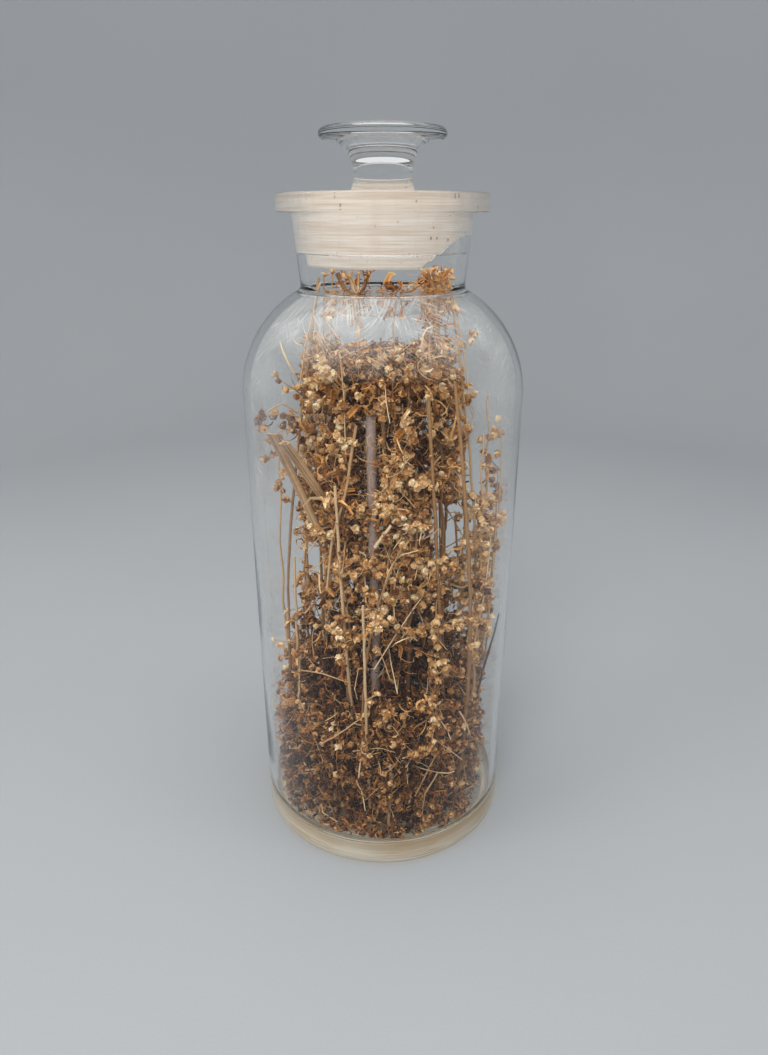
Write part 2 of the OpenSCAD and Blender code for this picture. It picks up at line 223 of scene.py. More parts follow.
def new_group(name: str, numbers: Mapping[str, float], outputs: Sequence[str]) -> tuple[Nodes, Any]:
    """Makes a shader node group that takes a coordinate in metres.

    Args:
        name: Name of the group.
        numbers: Its other inputs and their usual values, all plain numbers.
        outputs: Names of its outputs, all plain numbers.

    Returns:
        Its nodes and the sockets of its inputs.
    """
    tree = bpy.data.node_groups.new(name, "ShaderNodeTree")
    tree.interface.new_socket("Vector", in_out="INPUT", socket_type="NodeSocketVector")
    for label, value in numbers.items():
        socket = tree.interface.new_socket(label, in_out="INPUT", socket_type="NodeSocketFloat")
        socket.default_value = value
    for label in outputs:
        tree.interface.new_socket(label, in_out="OUTPUT", socket_type="NodeSocketFloat")
    n = Nodes(tree)
    return n, n.add("NodeGroupInput").outputs


class SharedPatterns:
    """Shader node groups that more than one finish uses."""

    def __init__(self) -> None:
        """Builds each group once."""
        self.wear = self._glass_wear()
        self.grinding = self._grinding_lines()
        self.brushed = self._brush_marks()
        self.fibre_and_painted_shade = self._dry_fibre_and_painted_shade()

    @staticmethod
    def _glass_wear() -> bpy.types.NodeTree:
        """Hair scratches that swirl, patches of haze and dust specks."""
        n, entry = new_group("glass_wear", {"Fineness": 260.0}, ("Scratches", "Haze", "Specks"))
        place = entry["Vector"]
        swirl = n.add("ShaderNodeTexNoise", {"Vector": place, "Scale": 38.0, "Detail": 2.0}).outputs["Color"]
        bent = n.vector("ADD", {0: place, 1: n.vector("SCALE", {0: swirl, "Scale": 0.03})})
        cracks = {"Vector": bent, "Scale": entry["Fineness"]}
        line = n.spread(
            n.out("ShaderNodeTexVoronoi", cracks, feature="DISTANCE_TO_EDGE"), 0.012, 0.035, 1.0, 0.0
        )
        patch = n.spread(n.noise(place, 55.0, 3.0), 0.5, 0.66)
        dots = n.spread(
            n.out("ShaderNodeTexVoronoi", {"Vector": place, "Scale": 330.0}), 0.09, 0.15, 1.0, 0.0
        )
        few = n.spread(n.noise(place, 160.0, 2.0), 0.58, 0.62)
        results = {
            "Scratches": n.math("MULTIPLY", line, patch),
            "Haze": n.spread(n.noise(place, 26.0, 6.0, 0.62, 0.6), 0.4, 0.75),
            "Specks": n.math("MULTIPLY", dots, few),
        }
        n.add("NodeGroupOutput", results)
        return n.tree

    @staticmethod
    def _grinding_lines() -> bpy.types.NodeTree:
        """Level lines that a grinding wheel leaves round a taper, and dark grit caught in them."""
        n, entry = new_group("grinding_lines", {"Pitch": 1900.0}, ("Lines", "Grit", "Frost"))
        place = entry["Vector"]
        x, y, z = n.split(place)
        level = n.joined(
            n.math("MULTIPLY", x, 45.0), n.math("MULTIPLY", y, 45.0), n.math("MULTIPLY", z, entry["Pitch"])
        )
        fine = n.noise(level, 1.0, 4.0, 0.65)
        broad = n.noise(n.stretched(place, (18.0, 18.0, 420.0)), 1.0, 2.0)
        lines = n.math("ADD", n.math("MULTIPLY", fine, 0.65), n.math("MULTIPLY", broad, 0.35))
        cells = n.out(
            "ShaderNodeTexVoronoi", {"Vector": n.stretched(place, (420.0, 420.0, 300.0)), "Scale": 1.0}
        )
        few = n.spread(n.noise(n.stretched(place, (1.0, 1.0, 0.3)), 210.0, 2.0), 0.5, 0.56)
        results = {
            "Lines": n.spread(lines, 0.38, 0.6),
            "Grit": n.math("MULTIPLY", n.spread(cells, 0.12, 0.22, 1.0, 0.0), few),
            "Frost": n.noise(place, 900.0, 4.0, 0.7),
        }
        n.add("NodeGroupOutput", results)
        return n.tree

    @staticmethod
    def _brush_marks() -> bpy.types.NodeTree:
        """Fine wiping marks that swirl over the inside of the glass."""
        n, entry = new_group("brush_marks", {"Swirl": 0.022, "Pitch": 1900.0}, ("Marks",))
        place = entry["Vector"]
        x, y, z = n.split(place)
        r = n.math("SQRT", n.math("ADD", n.math("MULTIPLY", x, x), n.math("MULTIPLY", y, y)))
        run = n.math("MULTIPLY", n.math("ARCTAN2", x, n.math("MULTIPLY", y, -1.0)), r)
        flat = n.joined(run, z, 0.0)
        drift = n.add("ShaderNodeTexNoise", {"Vector": place, "Scale": 22.0, "Detail": 1.0}).outputs["Color"]
        bend = n.vector("SCALE", {0: drift, "Scale": entry["Swirl"]})
        thin = n.joined(120.0, entry["Pitch"], 0.0)
        marks: Any = 0.0
        for angle, patches in ((0.5, 31.0), (1.35, 37.0), (2.5, 27.0)):
            turned = n.out("ShaderNodeVectorRotate", {"Vector": flat, "Angle": angle}, rotation_type="Z_AXIS")
            long = n.vector("MULTIPLY", {0: n.vector("ADD", {0: turned, 1: bend}), 1: thin})
            streak = n.spread(n.noise(long, 1.0, 2.0, 0.6), 0.5, 0.68)
            patch = n.spread(n.noise(place, patches, 2.0), 0.42, 0.56)
            marks = n.math("MAXIMUM", marks, n.math("MULTIPLY", streak, patch))
        n.add("NodeGroupOutput", {"Marks": marks})
        return n.tree

    @staticmethod
    def _dry_fibre_and_painted_shade() -> bpy.types.NodeTree:
        """Mottle and grain of dried plant matter, from the piece's own tint, with the painted shade that each
        point holds added to the tone.
        """
        n, entry = new_group("dry_fibre_and_painted_shade", {"Tint": 0.5, "Shade": 0.5, "Mottle": 0.3}, ("Tone", "Relief"))
        place = entry["Vector"]
        blotch = n.math("SUBTRACT", n.noise(place, 620.0, 4.0, 0.6), 0.5)
        tone = n.math("MULTIPLY_ADD", blotch, entry["Mottle"], entry["Tint"])
        # Painted light and shade: each point's shade lightens or darkens its tone.
        lit = n.math("SUBTRACT", entry["Shade"], 0.5)
        results = {
            "Tone": n.math("MULTIPLY_ADD", lit, 0.5, tone),
            "Relief": n.noise(n.stretched(place, (2600.0, 2600.0, 500.0)), 1.0, 3.0),
        }
        n.add("NodeGroupOutput", results)
        return n.tree


# Finishes


def new_material(name: str) -> tuple[bpy.types.Material, Nodes, Socket]:
    """Makes an empty material.

    Args:
        name: Name of the material.

    Returns:
        The material, its nodes and the piece's own coordinate in metres.
    """
    made = bpy.data.materials.new(name)
    made.use_nodes = True
    made.node_tree.nodes.clear()
    n = Nodes(made.node_tree)
    return made, n, n.add("ShaderNodeTexCoord").outputs["Object"]


def end_matt(n: Nodes, feeds: Mapping[str, Any]) -> None:
    """Ends a material with a plain surface."""
    n.add("ShaderNodeOutputMaterial", {"Surface": n.out("ShaderNodeBsdfPrincipled", feeds)})


def end_glass(n: Nodes, lamp_tint: Colour, feeds: Mapping[str, Any]) -> None:
    """Ends a material with glass that light from lamps, and from matt surfaces behind it, goes straight through.

    Args:
        n: The material's nodes.
        lamp_tint: Colour of that light once it is through.
        feeds: What goes into the glass shader.
    """
    path = n.add("ShaderNodeLightPath").outputs
    glass = n.out("ShaderNodeBsdfPrincipled", {"IOR": GLASS_IOR, **feeds})
    clear = n.out("ShaderNodeBsdfTransparent", {"Color": lamp_tint})
    shaded = n.out("ShaderNodeMixShader", {0: path["Is Shadow Ray"], 1: glass, 2: clear})
    both = n.out("ShaderNodeMixShader", {0: path["Is Diffuse Ray"], 1: shaded, 2: clear})
    n.add("ShaderNodeOutputMaterial", {"Surface": both})


@dataclass(frozen=True)
class ClearGlass:
    """Old colourless glass: clear in the wall, warm where it is thick, with hair scratches."""

    name: str
    wear: bpy.types.NodeTree
    clear: Colour = (0.985, 0.99, 0.985)
    warm: Colour = (0.97, 0.91, 0.84)
    lamp_tint: Colour = (0.97, 0.97, 0.96)
    warm_below: float = 16 * MM
    warm_above: float = 268 * MM
    rough: float = 0.012
    scratch_rough: float = 0.12
    gloss: float = 0.3
    ripple: float = 0.25 * MM

    def make(self) -> bpy.types.Material:
        """Builds the material."""
        made, n, place = new_material(self.name)
        height = n.split(place)[2]
        low = n.spread(height, self.warm_below * 0.5, self.warm_below, 1.0, 0.0)
        high = n.spread(height, self.warm_above, self.warm_above + 4 * MM)
        scratches = n.group(self.wear, Vector=place)["Scratches"]
        wave = n.noise(n.stretched(place, (1.0, 1.0, 0.45)), 34.0, 2.0, 0.4)
        feeds = {
            "Base Color": n.blend(n.math("MAXIMUM", low, high), self.clear, self.warm),
            "Roughness": n.spread(scratches, 0.0, 1.0, self.rough, self.scratch_rough),
            "Specular Tint": (self.gloss,) * 3,
            "Transmission Weight": 1.0,
            "Normal": n.bump(wave, 0.35, self.ripple),
        }
        end_glass(n, self.lamp_tint, feeds)
        return made


@dataclass(frozen=True)
class GroundGlass:
    """Ground glass of the joint: milky, with level lines, upright streaks, grit and a peach bloom low down."""

    name: str
    grinding: bpy.types.NodeTree
    milk: Colour = (1.0, 0.955, 0.90)
    line: Colour = (0.77, 0.66, 0.57)
    peach: Colour = (0.93, 0.72, 0.58)
    grit: Colour = (0.42, 0.28, 0.19)
    lamp_tint: Colour = (0.93, 0.89, 0.84)
    peach_z: float = 236 * MM
    peach_h: float = 9 * MM
    rough: float = 0.34
    clear_share: float = 0.52
    relief: float = 0.07 * MM

    def make(self) -> bpy.types.Material:
        """Builds the material."""
        made, n, place = new_material(self.name)
        ground = n.group(self.grinding, Vector=place)
        lines = ground["Lines"]
        streaks = n.noise(n.stretched(place, (260.0, 260.0, 22.0)), 1.0, 3.0)
        shade = n.blend(lines, self.line, self.milk)
        shade = n.blend(n.spread(streaks, 0.5, 0.7, 0.0, 0.3), shade, self.line)
        off = n.math("ABSOLUTE", n.math("SUBTRACT", n.split(place)[2], self.peach_z))
        patch = n.spread(n.noise(place, 40.0, 2.0), 0.35, 0.6)
        bloom = n.math("MULTIPLY", n.spread(off, 0.0, self.peach_h, 0.75, 0.0), patch)
        shade = n.blend(bloom, shade, self.peach)
        both = n.math("ADD", lines, n.math("MULTIPLY", ground["Frost"], 0.5))
        feeds = {
            "Base Color": n.blend(ground["Grit"], shade, self.grit),
            "Roughness": n.spread(lines, 0.0, 1.0, self.rough + 0.1, self.rough - 0.06),
            "Transmission Weight": self.clear_share,
            "Normal": n.bump(both, 0.6, self.relief),
        }
        end_glass(n, self.lamp_tint, feeds)
        return made


@dataclass(frozen=True)
class BaseGlass:
    """The thick glass of the foot, painted warm cream as a glow in place of the light it gathers, with drawn-out
    striations, and painted shade that turns it to straw towards its top.
    """

    name: str = "base_glass"
    # Painted glow: the foot is made a pale cream in place of the light that gathers in its thick glass.
    cream: Colour = (1.0, 0.94, 0.80)
    straw: Colour = (0.70, 0.51, 0.30)
    lamp_tint: Colour = (0.97, 0.92, 0.84)
    clear_share: float = 0.5
    rough: float = 0.08
    relief: float = 0.1 * MM
    painted_shade_low: float = 5 * MM
    painted_shade_high: float = 12 * MM

    def make(self) -> bpy.types.Material:
        """Builds the material."""
        made, n, place = new_material(self.name)
        drawn = n.noise(n.stretched(place, (38.0, 38.0, 1500.0)), 1.0, 4.0, 0.6)
        patch = n.noise(place, 22.0, 2.0)
        streak = n.math("MULTIPLY", n.spread(drawn, 0.44, 0.56), n.spread(patch, 0.3, 0.62, 0.35, 1.0))
        # Painted shade: the cream turns to straw towards the top of the foot, so the foot is brightest at its
        # lower edge.
        painted_shade_rise = n.spread(n.split(place)[2], self.painted_shade_low, self.painted_shade_high)
        upper = n.math("MULTIPLY", painted_shade_rise, n.spread(patch, 0.35, 0.6, 0.55, 1.0))
        feeds = {
            "Base Color": n.blend(n.math("MAXIMUM", streak, upper), self.cream, self.straw),
            "Roughness": self.rough,
            "Transmission Weight": self.clear_share,
            "Normal": n.bump(drawn, 0.4, self.relief),
        }
        end_glass(n, self.lamp_tint, feeds)
        return made


@dataclass(frozen=True)
class DustAndSheenFilm:
    """Pale bloom and wiping marks on the inside of the shoulder, with a little dust further down, and painted
    sheen: the pale haze on the shoulder stands partly for the reflection of the light overhead, and pale bands on
    the left and right of the upper body are painted highlights.
    """

    name: str
    wear: bpy.types.NodeTree
    brushed: bpy.types.NodeTree
    # Colour of the bloom, the dust and the painted sheen.
    colour: Colour = (0.93, 0.95, 0.96)
    shoulder_low: float = 215 * MM
    shoulder_high: float = 233 * MM
    sheen_side_low: float = 146 * MM
    sheen_side_h: float = 26 * MM
    sheen_side_zone: tuple[float, float] = (30 * MM, 48 * MM)
    body_haze: float = 0.003
    shoulder_bloom_and_sheen: float = 0.45
    marks: float = 0.34
    specks: float = 0.12
    most: float = 0.6

    def make(self) -> bpy.types.Material:
        """Builds the material."""
        made, n, place = new_material(self.name)
        x, _, z = n.split(place)
        # Painted highlights: pale bands at the left and right of the body, rising from the lower edge of the side
        # zone, over real wiping marks.
        sheen_side_band = n.spread(n.math("ABSOLUTE", x), *self.sheen_side_zone)
        beside = n.math("MULTIPLY", sheen_side_band, n.spread(z, self.sheen_side_low, self.sheen_side_low + self.sheen_side_h, 0.0, 0.85))
        bloom_and_sheen_zone = n.math("MAXIMUM", beside, n.spread(z, self.shoulder_low, self.shoulder_high))
        worn, wiped = n.group(self.wear, Vector=place), n.group(self.brushed, Vector=place)
        haze = n.math("MULTIPLY", worn["Haze"], n.spread(bloom_and_sheen_zone, 0.0, 1.0, self.body_haze, self.shoulder_bloom_and_sheen))
        lines = n.math("MULTIPLY", wiped["Marks"], n.spread(bloom_and_sheen_zone, 0.0, 1.0, 0.0, self.marks))
        dust = n.math("MULTIPLY", worn["Specks"], self.specks)
        alpha = n.math("MINIMUM", n.math("ADD", n.math("ADD", haze, lines), dust), self.most)
        end_matt(n, {"Base Color": self.colour, "Roughness": 0.8, "Specular IOR Level": 0.1, "Alpha": alpha})
        return made


@dataclass(frozen=True)
class DriedPlant:
    """Dried plant matter, coloured by the tint and by the shade, partly painted shade, that each point of the
    mesh holds.
    """

    name: str
    fibre_and_painted_shade: bpy.types.NodeTree
    stops: tuple[tuple[float, Colour], ...]
    mottle: float = 0.3
    rough: float = 0.78
    relief: float = 0.12 * MM

    def make(self) -> bpy.types.Material:
        """Builds the material."""
        made, n, place = new_material(self.name)
        held = {
            k: n.add(
                "ShaderNodeAttribute", attribute_name=k.lower()
            ).outputs["Fac"] for k in ("Tint", "Shade")
        }
        dry = n.group(self.fibre_and_painted_shade, Vector=place, Mottle=self.mottle, **held)
        feeds = {
            "Base Color": n.ramp(dry["Tone"], self.stops),
            "Roughness": n.spread(dry["Relief"], 0.3, 0.7, self.rough - 0.12, self.rough + 0.1),
            "Specular IOR Level": 0.3,
            "Normal": n.bump(dry["Relief"], 0.6, self.relief),
        }
        end_matt(n, feeds)
        return made


@dataclass(frozen=True)
class PalePaper:
    """Plain pale backdrop paper."""

    name: str = "backdrop_paper"
    colour: Colour = linear(172, 176, 180)

    def make(self) -> bpy.types.Material:
        """Builds the material."""
        made, n, place = new_material(self.name)
        tooth = n.noise(place, 900.0, 3.0)
        cloud = n.spread(n.noise(place, 3.0, 2.0), 0.3, 0.7, -0.02, 0.02)
        tone = n.math("ADD", n.spread(tooth, 0.3, 0.7, 0.985, 1.015), cloud)
        shade = n.vector("SCALE", {0: self.colour, "Scale": tone})
        end_matt(n, {"Base Color": shade, "Roughness": 0.9, "Normal": n.bump(tooth, 0.2, 0.1 * MM)})
        return made


# Glass shapes


def arc(centre: tuple[float, float], r: float, start: float, end: float, steps: int) -> Profile:
    """Points of an arc between two angles in degrees."""
    angles = [math.radians(start + (end - start) * i / steps) for i in range(steps + 1)]
    return [(centre[0] + r * math.cos(a), centre[1] + r * math.sin(a)) for a in angles]


def dome(r: float, z: float, rise: float, steps: int) -> Profile:
    """Points of a shallow dome from its rim to the axis."""
    big = (r * r + rise * rise) / (2 * rise)
    return arc((0.0, z + rise - big), big, math.degrees(math.acos(r / big)), 90.0, steps)


def filled(points: Profile, step: float) -> Profile:
    """The same line with points no further apart than a step."""
    made: Profile = [points[0]]
    for (x0, z0), (x1, z1) in zip(points, points[1:]):
        count = max(1, math.ceil(math.hypot(x1 - x0, z1 - z0) / step))
        made += [(x0 + (x1 - x0) * i / count, z0 + (z1 - z0) * i / count) for i in range(1, count + 1)]
    return made


def mm(x: float, y: float, z: float) -> Vector:
    """Point given in millimetres."""
    return Vector((x, y, z)) * MM


def at(turn: float, r: float, z: float) -> Vector:
    """Point at an azimuth in degrees, a radius and a height."""
    a = math.radians(turn)
    return Vector((r * math.sin(a), -r * math.cos(a), z))


@dataclass(frozen=True)
class GlassSizes:
    """Sizes of the bottle and its stopper, as in the part's source."""

    body_r: float = 57.5 * MM
    body_h: float = 202 * MM
    wall_t: float = 2.8 * MM
    base_t: float = 7.5 * MM
    heel_r: float = 4 * MM
    inner_heel_r: float = 9 * MM
    ring_r: float = 46 * MM
    punt_h: float = 2.5 * MM
    shoulder_r: float = 46.5 * MM
    neck_r: float = 32.25 * MM
    neck_top_r: float = 34.8 * MM
    neck_h: float = 34.1 * MM
    neck_fillet_r: float = 3 * MM
    throat_r: float = 28.8 * MM
    throat_edge_r: float = 1.5 * MM
    lip_r: float = 40.8 * MM
    lip_t: float = 6.7 * MM
    lip_edge_r: float = 1.2 * MM
    lip_fillet_r: float = 2 * MM
    plug_r0: float = 30.85 * MM
    taper: float = 10.0
    plug_h: float = 25.5 * MM
    ground_h: float = 20.5 * MM
    joint_gap: float = 0.12 * MM
    bore_relief: float = 0.4 * MM
    joint_bevel: float = 0.8 * MM
    dish_h: float = 1.5 * MM
    crown_h: float = 1.6 * MM
    waist_d: float = 22.1 * MM
    waist_r: float = 12.8 * MM
    waist_h: float = 6.5 * MM
    knob_r: float = 23.85 * MM
    knob_t: float = 3.9 * MM
    knob_edge_r: float = 1.9 * MM
    knob_h: float = 18.1 * MM
    knob_crown_h: float = 2 * MM
    chip_turn: float = 80.0
    chip_h: float = 10.4 * MM
    chip_run: float = 16.2 * MM
    chip_face_r: float = 90 * MM
    chip_scoop: float = 1.5 * MM

    @property
    def inner_r(self) -> float:
        """Radius of the cavity in the straight body."""
        return self.body_r - self.wall_t

    @property
    def floor_r(self) -> float:
        """Radius of the flat floor."""
        return self.inner_r - self.inner_heel_r

    @property
    def shoulder_x(self) -> float:
        """Distance of the shoulder arcs' centre from the axis."""
        return self.body_r - self.shoulder_r

    @property
    def shoulder_in_r(self) -> float:
        """Radius of the shoulder's inner arc."""
        return self.shoulder_r - self.wall_t

    def rise(self, r: float, x: float) -> float:
        """Height of a shoulder arc above the straight side, at a distance from the axis."""
        return math.sqrt(r * r - (x - self.shoulder_x) ** 2)

    @property
    def neck_z(self) -> float:
        """Height at which the neck leaves the shoulder."""
        return self.body_h + self.rise(self.shoulder_r, self.neck_r)

    @property
    def mouth_z(self) -> float:
        """Height of the top of the lip."""
        return self.neck_z + self.neck_h

    @property
    def lip_z(self) -> float:
        """Height of the lip's underside."""
        return self.mouth_z - self.lip_t

    @property
    def plug_z(self) -> float:
        """Height of the bottom of the plug."""
        return self.mouth_z - self.plug_h

    @property
    def ground_z(self) -> float:
        """Height of the lower end of the ground zone."""
        return self.mouth_z - self.ground_h

    @property
    def throat_z(self) -> float:
        """Height of the throat's edge."""
        return self.body_h + self.rise(self.shoulder_in_r, self.throat_r)

    def plug_r(self, z: float) -> float:
        """Radius of the plug at a height."""
        return self.plug_r0 - (self.mouth_z - z) / (2 * self.taper)

    def fillet(self, r: float, x: float, slope: float, f: float) -> tuple[float, float]:
        """Centre of a fillet outside both a shoulder arc and the line that leaves it.

        Args:
            r: Radius of the shoulder arc.
            x: Distance from the axis at which the line leaves the arc.
            slope: Run of the line outwards for each unit of height.
            f: Radius of the fillet.

        Returns:
            Distance from the axis and height.
        """
        z = self.body_h + self.rise(r, x)
        a = x - self.shoulder_x + slope * (self.body_h - z) + f * math.sqrt(1 + slope * slope)
        q = 1 + slope * slope
        u = (-a * slope + math.sqrt(q * (r + f) ** 2 - a * a)) / q
        return self.shoulder_x + a + slope * u, self.body_h + u

    def bearing(self, p: tuple[float, float]) -> float:
        """Direction from the shoulder's centre to a point, in degrees."""
        return math.degrees(math.atan2(p[1] - self.body_h, p[0] - self.shoulder_x))


SIZES = GlassSizes()


class Cavity:
    """The room inside the bottle, which the herbs stay in."""

    margin = 0.25 * MM
    table_rows = 900

    def __init__(self, sizes: GlassSizes) -> None:
        """Takes the sizes of the glass."""
        self.s, self.top = sizes, sizes.plug_z

    def limit(self, z: float) -> float:
        """Radius of the cavity at a height."""
        s = self.s
        heel_z = s.base_t + s.inner_heel_r
        if z < heel_z:
            drop = min(heel_z - z, s.inner_heel_r)
            return s.floor_r + math.sqrt(max(s.inner_heel_r**2 - drop**2, 0.0))
        if z <= s.body_h:
            return s.inner_r
        if z < s.throat_z - 1.5 * MM:
            return s.shoulder_x + math.sqrt(s.shoulder_in_r**2 - (z - s.body_h) ** 2)
        return s.throat_r

    def inside(self, p: Vector, margin: float) -> Vector:
        """The nearest point that keeps a margin from the glass."""
        z = min(max(p.z, self.s.base_t + margin), self.top - margin)
        r = math.hypot(p.x, p.y)
        slope = min(self.limit(z), self.limit(z + margin * 0.7)) if z > self.s.body_h else self.limit(z)
        most = slope - margin
        if z < self.s.base_t + self.s.inner_heel_r:
            most = min(most, self.limit(max(z - margin * 0.7, self.s.base_t)) - margin * 0.7)
        k = min(1.0, most / r) if r > 0 else 1.0
        return Vector((p.x * k, p.y * k, z))

    def press(self, mesh: bpy.types.Mesh) -> None:
        """Presses what would stick through the glass flat against its inner face.

        Args:
            mesh: A finished herb, whose points are moved.
        """
        low, high = self.s.base_t + self.margin, self.top - self.margin
        points = points_of(mesh).astype(float)
        points[:, 2] = np.clip(points[:, 2], low, high)
        heights = np.linspace(low, high, self.table_rows)
        limits = np.interp(points[:, 2], heights, [self.limit(z) for z in heights]) - self.margin
        radii = np.maximum(np.hypot(points[:, 0], points[:, 1]), 1e-6)
        points[:, :2] *= np.minimum(1.0, limits / radii)[:, None]
        mesh.vertices.foreach_set("co", points.astype(np.float32).ravel())
        mesh.update()


def points_of(mesh: bpy.types.Mesh) -> np.ndarray:
    """A mesh's points, one in each row."""
    flat = np.zeros(len(mesh.vertices) * 3, np.float32)
    mesh.vertices.foreach_get("co", flat)
    return flat.reshape(-1, 3)


def link(ob: bpy.types.Object) -> bpy.types.Object:
    """Puts an object in the scene."""
    bpy.context.scene.collection.objects.link(ob)
    return ob


def settle(
    name: str, mesh: bpy.types.Mesh, slot: Slot, nodes: Sequence[str] = (), body: Body = Body.BOTTLE
) -> bpy.types.Object:
    """Makes a mesh a piece of the object.

    Args:
        name: Name of the piece.
        mesh: Its finished mesh, in place.
        slot: Record slot of its finish; not used.
        nodes: Nodes of the frame that it stands for.
        body: Body that it rides on.

    Returns:
        The piece.
    """
    made = link(bpy.data.objects.new(name, mesh))
    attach(made, body.value)
    if nodes:
        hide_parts(*nodes)
    LOG.info("made %s, %d faces", name, len(mesh.polygons))
    return made


def revolve(name: str, profile: Profile, turns: int) -> bpy.types.Mesh:
    """Turns a line round the axis, closing it where it meets the axis.

    Args:
        name: Name of the mesh.
        profile: Distance from the axis and height of each point.
        turns: Number of faces round the axis.

    Returns:
        The mesh. Its rings keep the profile's order.
    """
    verts: list[tuple[float, float, float]] = []
    rings: list[list[int]] = []
    for x, z in profile:
        if x < 1e-9:
            rings.append([len(verts)] * turns)
            verts.append((0.0, 0.0, z))
            continue
        first = len(verts)
        for j in range(turns):
            a = 2 * math.pi * j / turns
            verts.append((x * math.sin(a), -x * math.cos(a), z))
        rings.append([first + j for j in range(turns)])
    faces: list[list[int]] = []
    for low, high in zip(rings, rings[1:]):
        for j in range(turns):
            k = (j + 1) % turns
            corners = [low[j], low[k], high[k], high[j]]
            faces.append(list(dict.fromkeys(corners)))
    mesh = bpy.data.meshes.new(name)
    mesh.from_pydata(verts, [], faces)
    return mesh


def point_outwards(mesh: bpy.types.Mesh) -> None:
    """Turns the faces of a closed mesh outwards."""
    work = bmesh.new()
    work.from_mesh(mesh)
    bmesh.ops.recalc_face_normals(work, faces=work.faces)
    work.to_mesh(mesh)
    work.free()


class BottleGlass:
    """The blown bottle: one closed shell from the middle of its punt round the lip to its floor."""

    turns = 224
    step = 2.4 * MM
    joint_step = 0.6 * MM
    wobble = 0.06 * MM
    waves = ((2, 34, 0.4, 1.0), (3, 61, 2.1, 0.6), (5, 23, 4.0, 0.45), (9, 92, 1.1, 0.2))
    # Below this height the outer faces take the base glass and its painted glow.
    foot_z = 11.5 * MM
    sharp = 32.0

    def __init__(self, sizes: GlassSizes, finishes: Mapping[Face, bpy.types.Material]) -> None:
        """Takes the sizes and the finish of each kind of face."""
        self.s, self.finishes = sizes, finishes

    def outside(self) -> Profile:
        """Line from the middle of the punt up to the edge of the mouth."""
        s = self.s
        slope = (s.neck_top_r - s.neck_r) / (s.lip_z - s.neck_z)
        lean = math.degrees(math.atan(slope))
        neck = s.fillet(s.shoulder_r, s.neck_r, slope, s.neck_fillet_r)
        lip_x = s.neck_top_r - slope * s.lip_fillet_r + s.lip_fillet_r
        return (
            dome(s.ring_r, 0.0, s.punt_h, 20)[::-1]
            + arc((s.body_r - s.heel_r, s.heel_r), s.heel_r, -90, 0, 14)
            + arc((s.shoulder_x, s.body_h), s.shoulder_r, 0, s.bearing(neck), 40)
            + arc(neck, s.neck_fillet_r, 180 + s.bearing(neck), 180 - lean, 10)
            + arc((lip_x, s.lip_z - s.lip_fillet_r), s.lip_fillet_r, 180 - lean, 90, 8)
            + arc((s.lip_r - s.lip_edge_r, s.lip_z + s.lip_edge_r), s.lip_edge_r, -90, 0, 8)
            + arc((s.lip_r - s.lip_edge_r, s.mouth_z - s.lip_edge_r), s.lip_edge_r, 0, 90, 8)
        )

    def joint(self) -> Profile:
        """Line of the ground zone, from the mouth's bevel down."""
        s = self.s
        return [
            (s.plug_r(s.mouth_z) + s.joint_gap + s.joint_bevel, s.mouth_z),
            (s.plug_r(s.mouth_z - s.joint_bevel) + s.joint_gap, s.mouth_z - s.joint_bevel),
            (s.plug_r(s.ground_z) + s.joint_gap, s.ground_z),
        ]

    def cavity(self) -> Profile:
        """Line from under the ground zone down to the middle of the floor."""
        s = self.s
        relief = (s.plug_r(s.ground_z) + s.joint_gap + s.bore_relief, s.ground_z - s.bore_relief)
        slope = (relief[0] - s.throat_r) / (relief[1] - s.throat_z)
        lean = math.degrees(math.atan(slope))
        edge = s.fillet(s.shoulder_in_r, s.throat_r, slope, s.throat_edge_r)
        return (
            [relief]
            + arc(edge, s.throat_edge_r, 180 - lean, 180 + s.bearing(edge), 10)
            + arc((s.shoulder_x, s.body_h), s.shoulder_in_r, s.bearing(edge), 0, 40)
            + arc((s.inner_r - s.inner_heel_r, s.base_t + s.inner_heel_r), s.inner_heel_r, 0, -90, 16)
            + [(0.0, s.base_t)]
        )

    def build(self) -> bpy.types.Object:
        """Builds and dresses the bottle, which replaces its solid."""
        outer = filled(self.outside(), self.step)
        joint = filled(self.joint(), self.joint_step)
        inner = filled(self.cavity(), self.step)
        outer[0] = (0.0, outer[0][1])
        mesh = revolve("bottle_glass_mesh", outer + joint + inner, self.turns)
        for kind in Face:
            mesh.materials.append(self.finishes[kind])
        foot = next(i for i, (_, z) in enumerate(outer) if z > self.foot_z)
        first = (len(outer) - 1) * self.turns
        last = first + len(joint) * self.turns
        kinds = np.zeros(len(mesh.polygons), np.int32)
        kinds[: foot * self.turns] = Face.BASE
        kinds[first + self.turns : last] = Face.GROUND
        chip = StopperGlass.chip_ball(self.s)
        for i in range(first, last):
            if (mesh.polygons[i].center - chip).length < self.s.chip_face_r:
                kinds[i] = Face.CLEAR
        mesh.polygons.foreach_set("material_index", kinds)
        self._wave(mesh, 1 + (len(outer) - 1 + len(joint)) * self.turns)
        point_outwards(mesh)
        mesh.shade_smooth()
        mesh.set_sharp_from_angle(angle=math.radians(self.sharp))
        return settle("bottle_glass", mesh, Slot.BOTTLE_GLASS, ["bottle"])

    def _wave(self, mesh: bpy.types.Mesh, first: int) -> None:
        """Lets the inner wall wander a little, as blown glass does.

        Args:
            mesh: The bottle's mesh.
            first: Number of its first vertex inside the cavity.
        """
        co = points_of(mesh).astype(float)
        part = co[first:]
        turn, z = np.arctan2(part[:, 0], -part[:, 1]), part[:, 2]
        wave = np.zeros(len(part))
        for waves, pitch, phase, share in self.waves:
            wave += share * np.sin(waves * turn + pitch * z + phase)
        fade = np.clip((z - 12 * MM) / (14 * MM), 0, 1) * np.clip((246 * MM - z) / (12 * MM), 0, 1)
        r = np.maximum(np.hypot(part[:, 0], part[:, 1]), 1e-6)
        part[:, :2] *= (1 + self.wobble * wave * fade / r)[:, None]
        mesh.vertices.foreach_set("co", co.ravel())


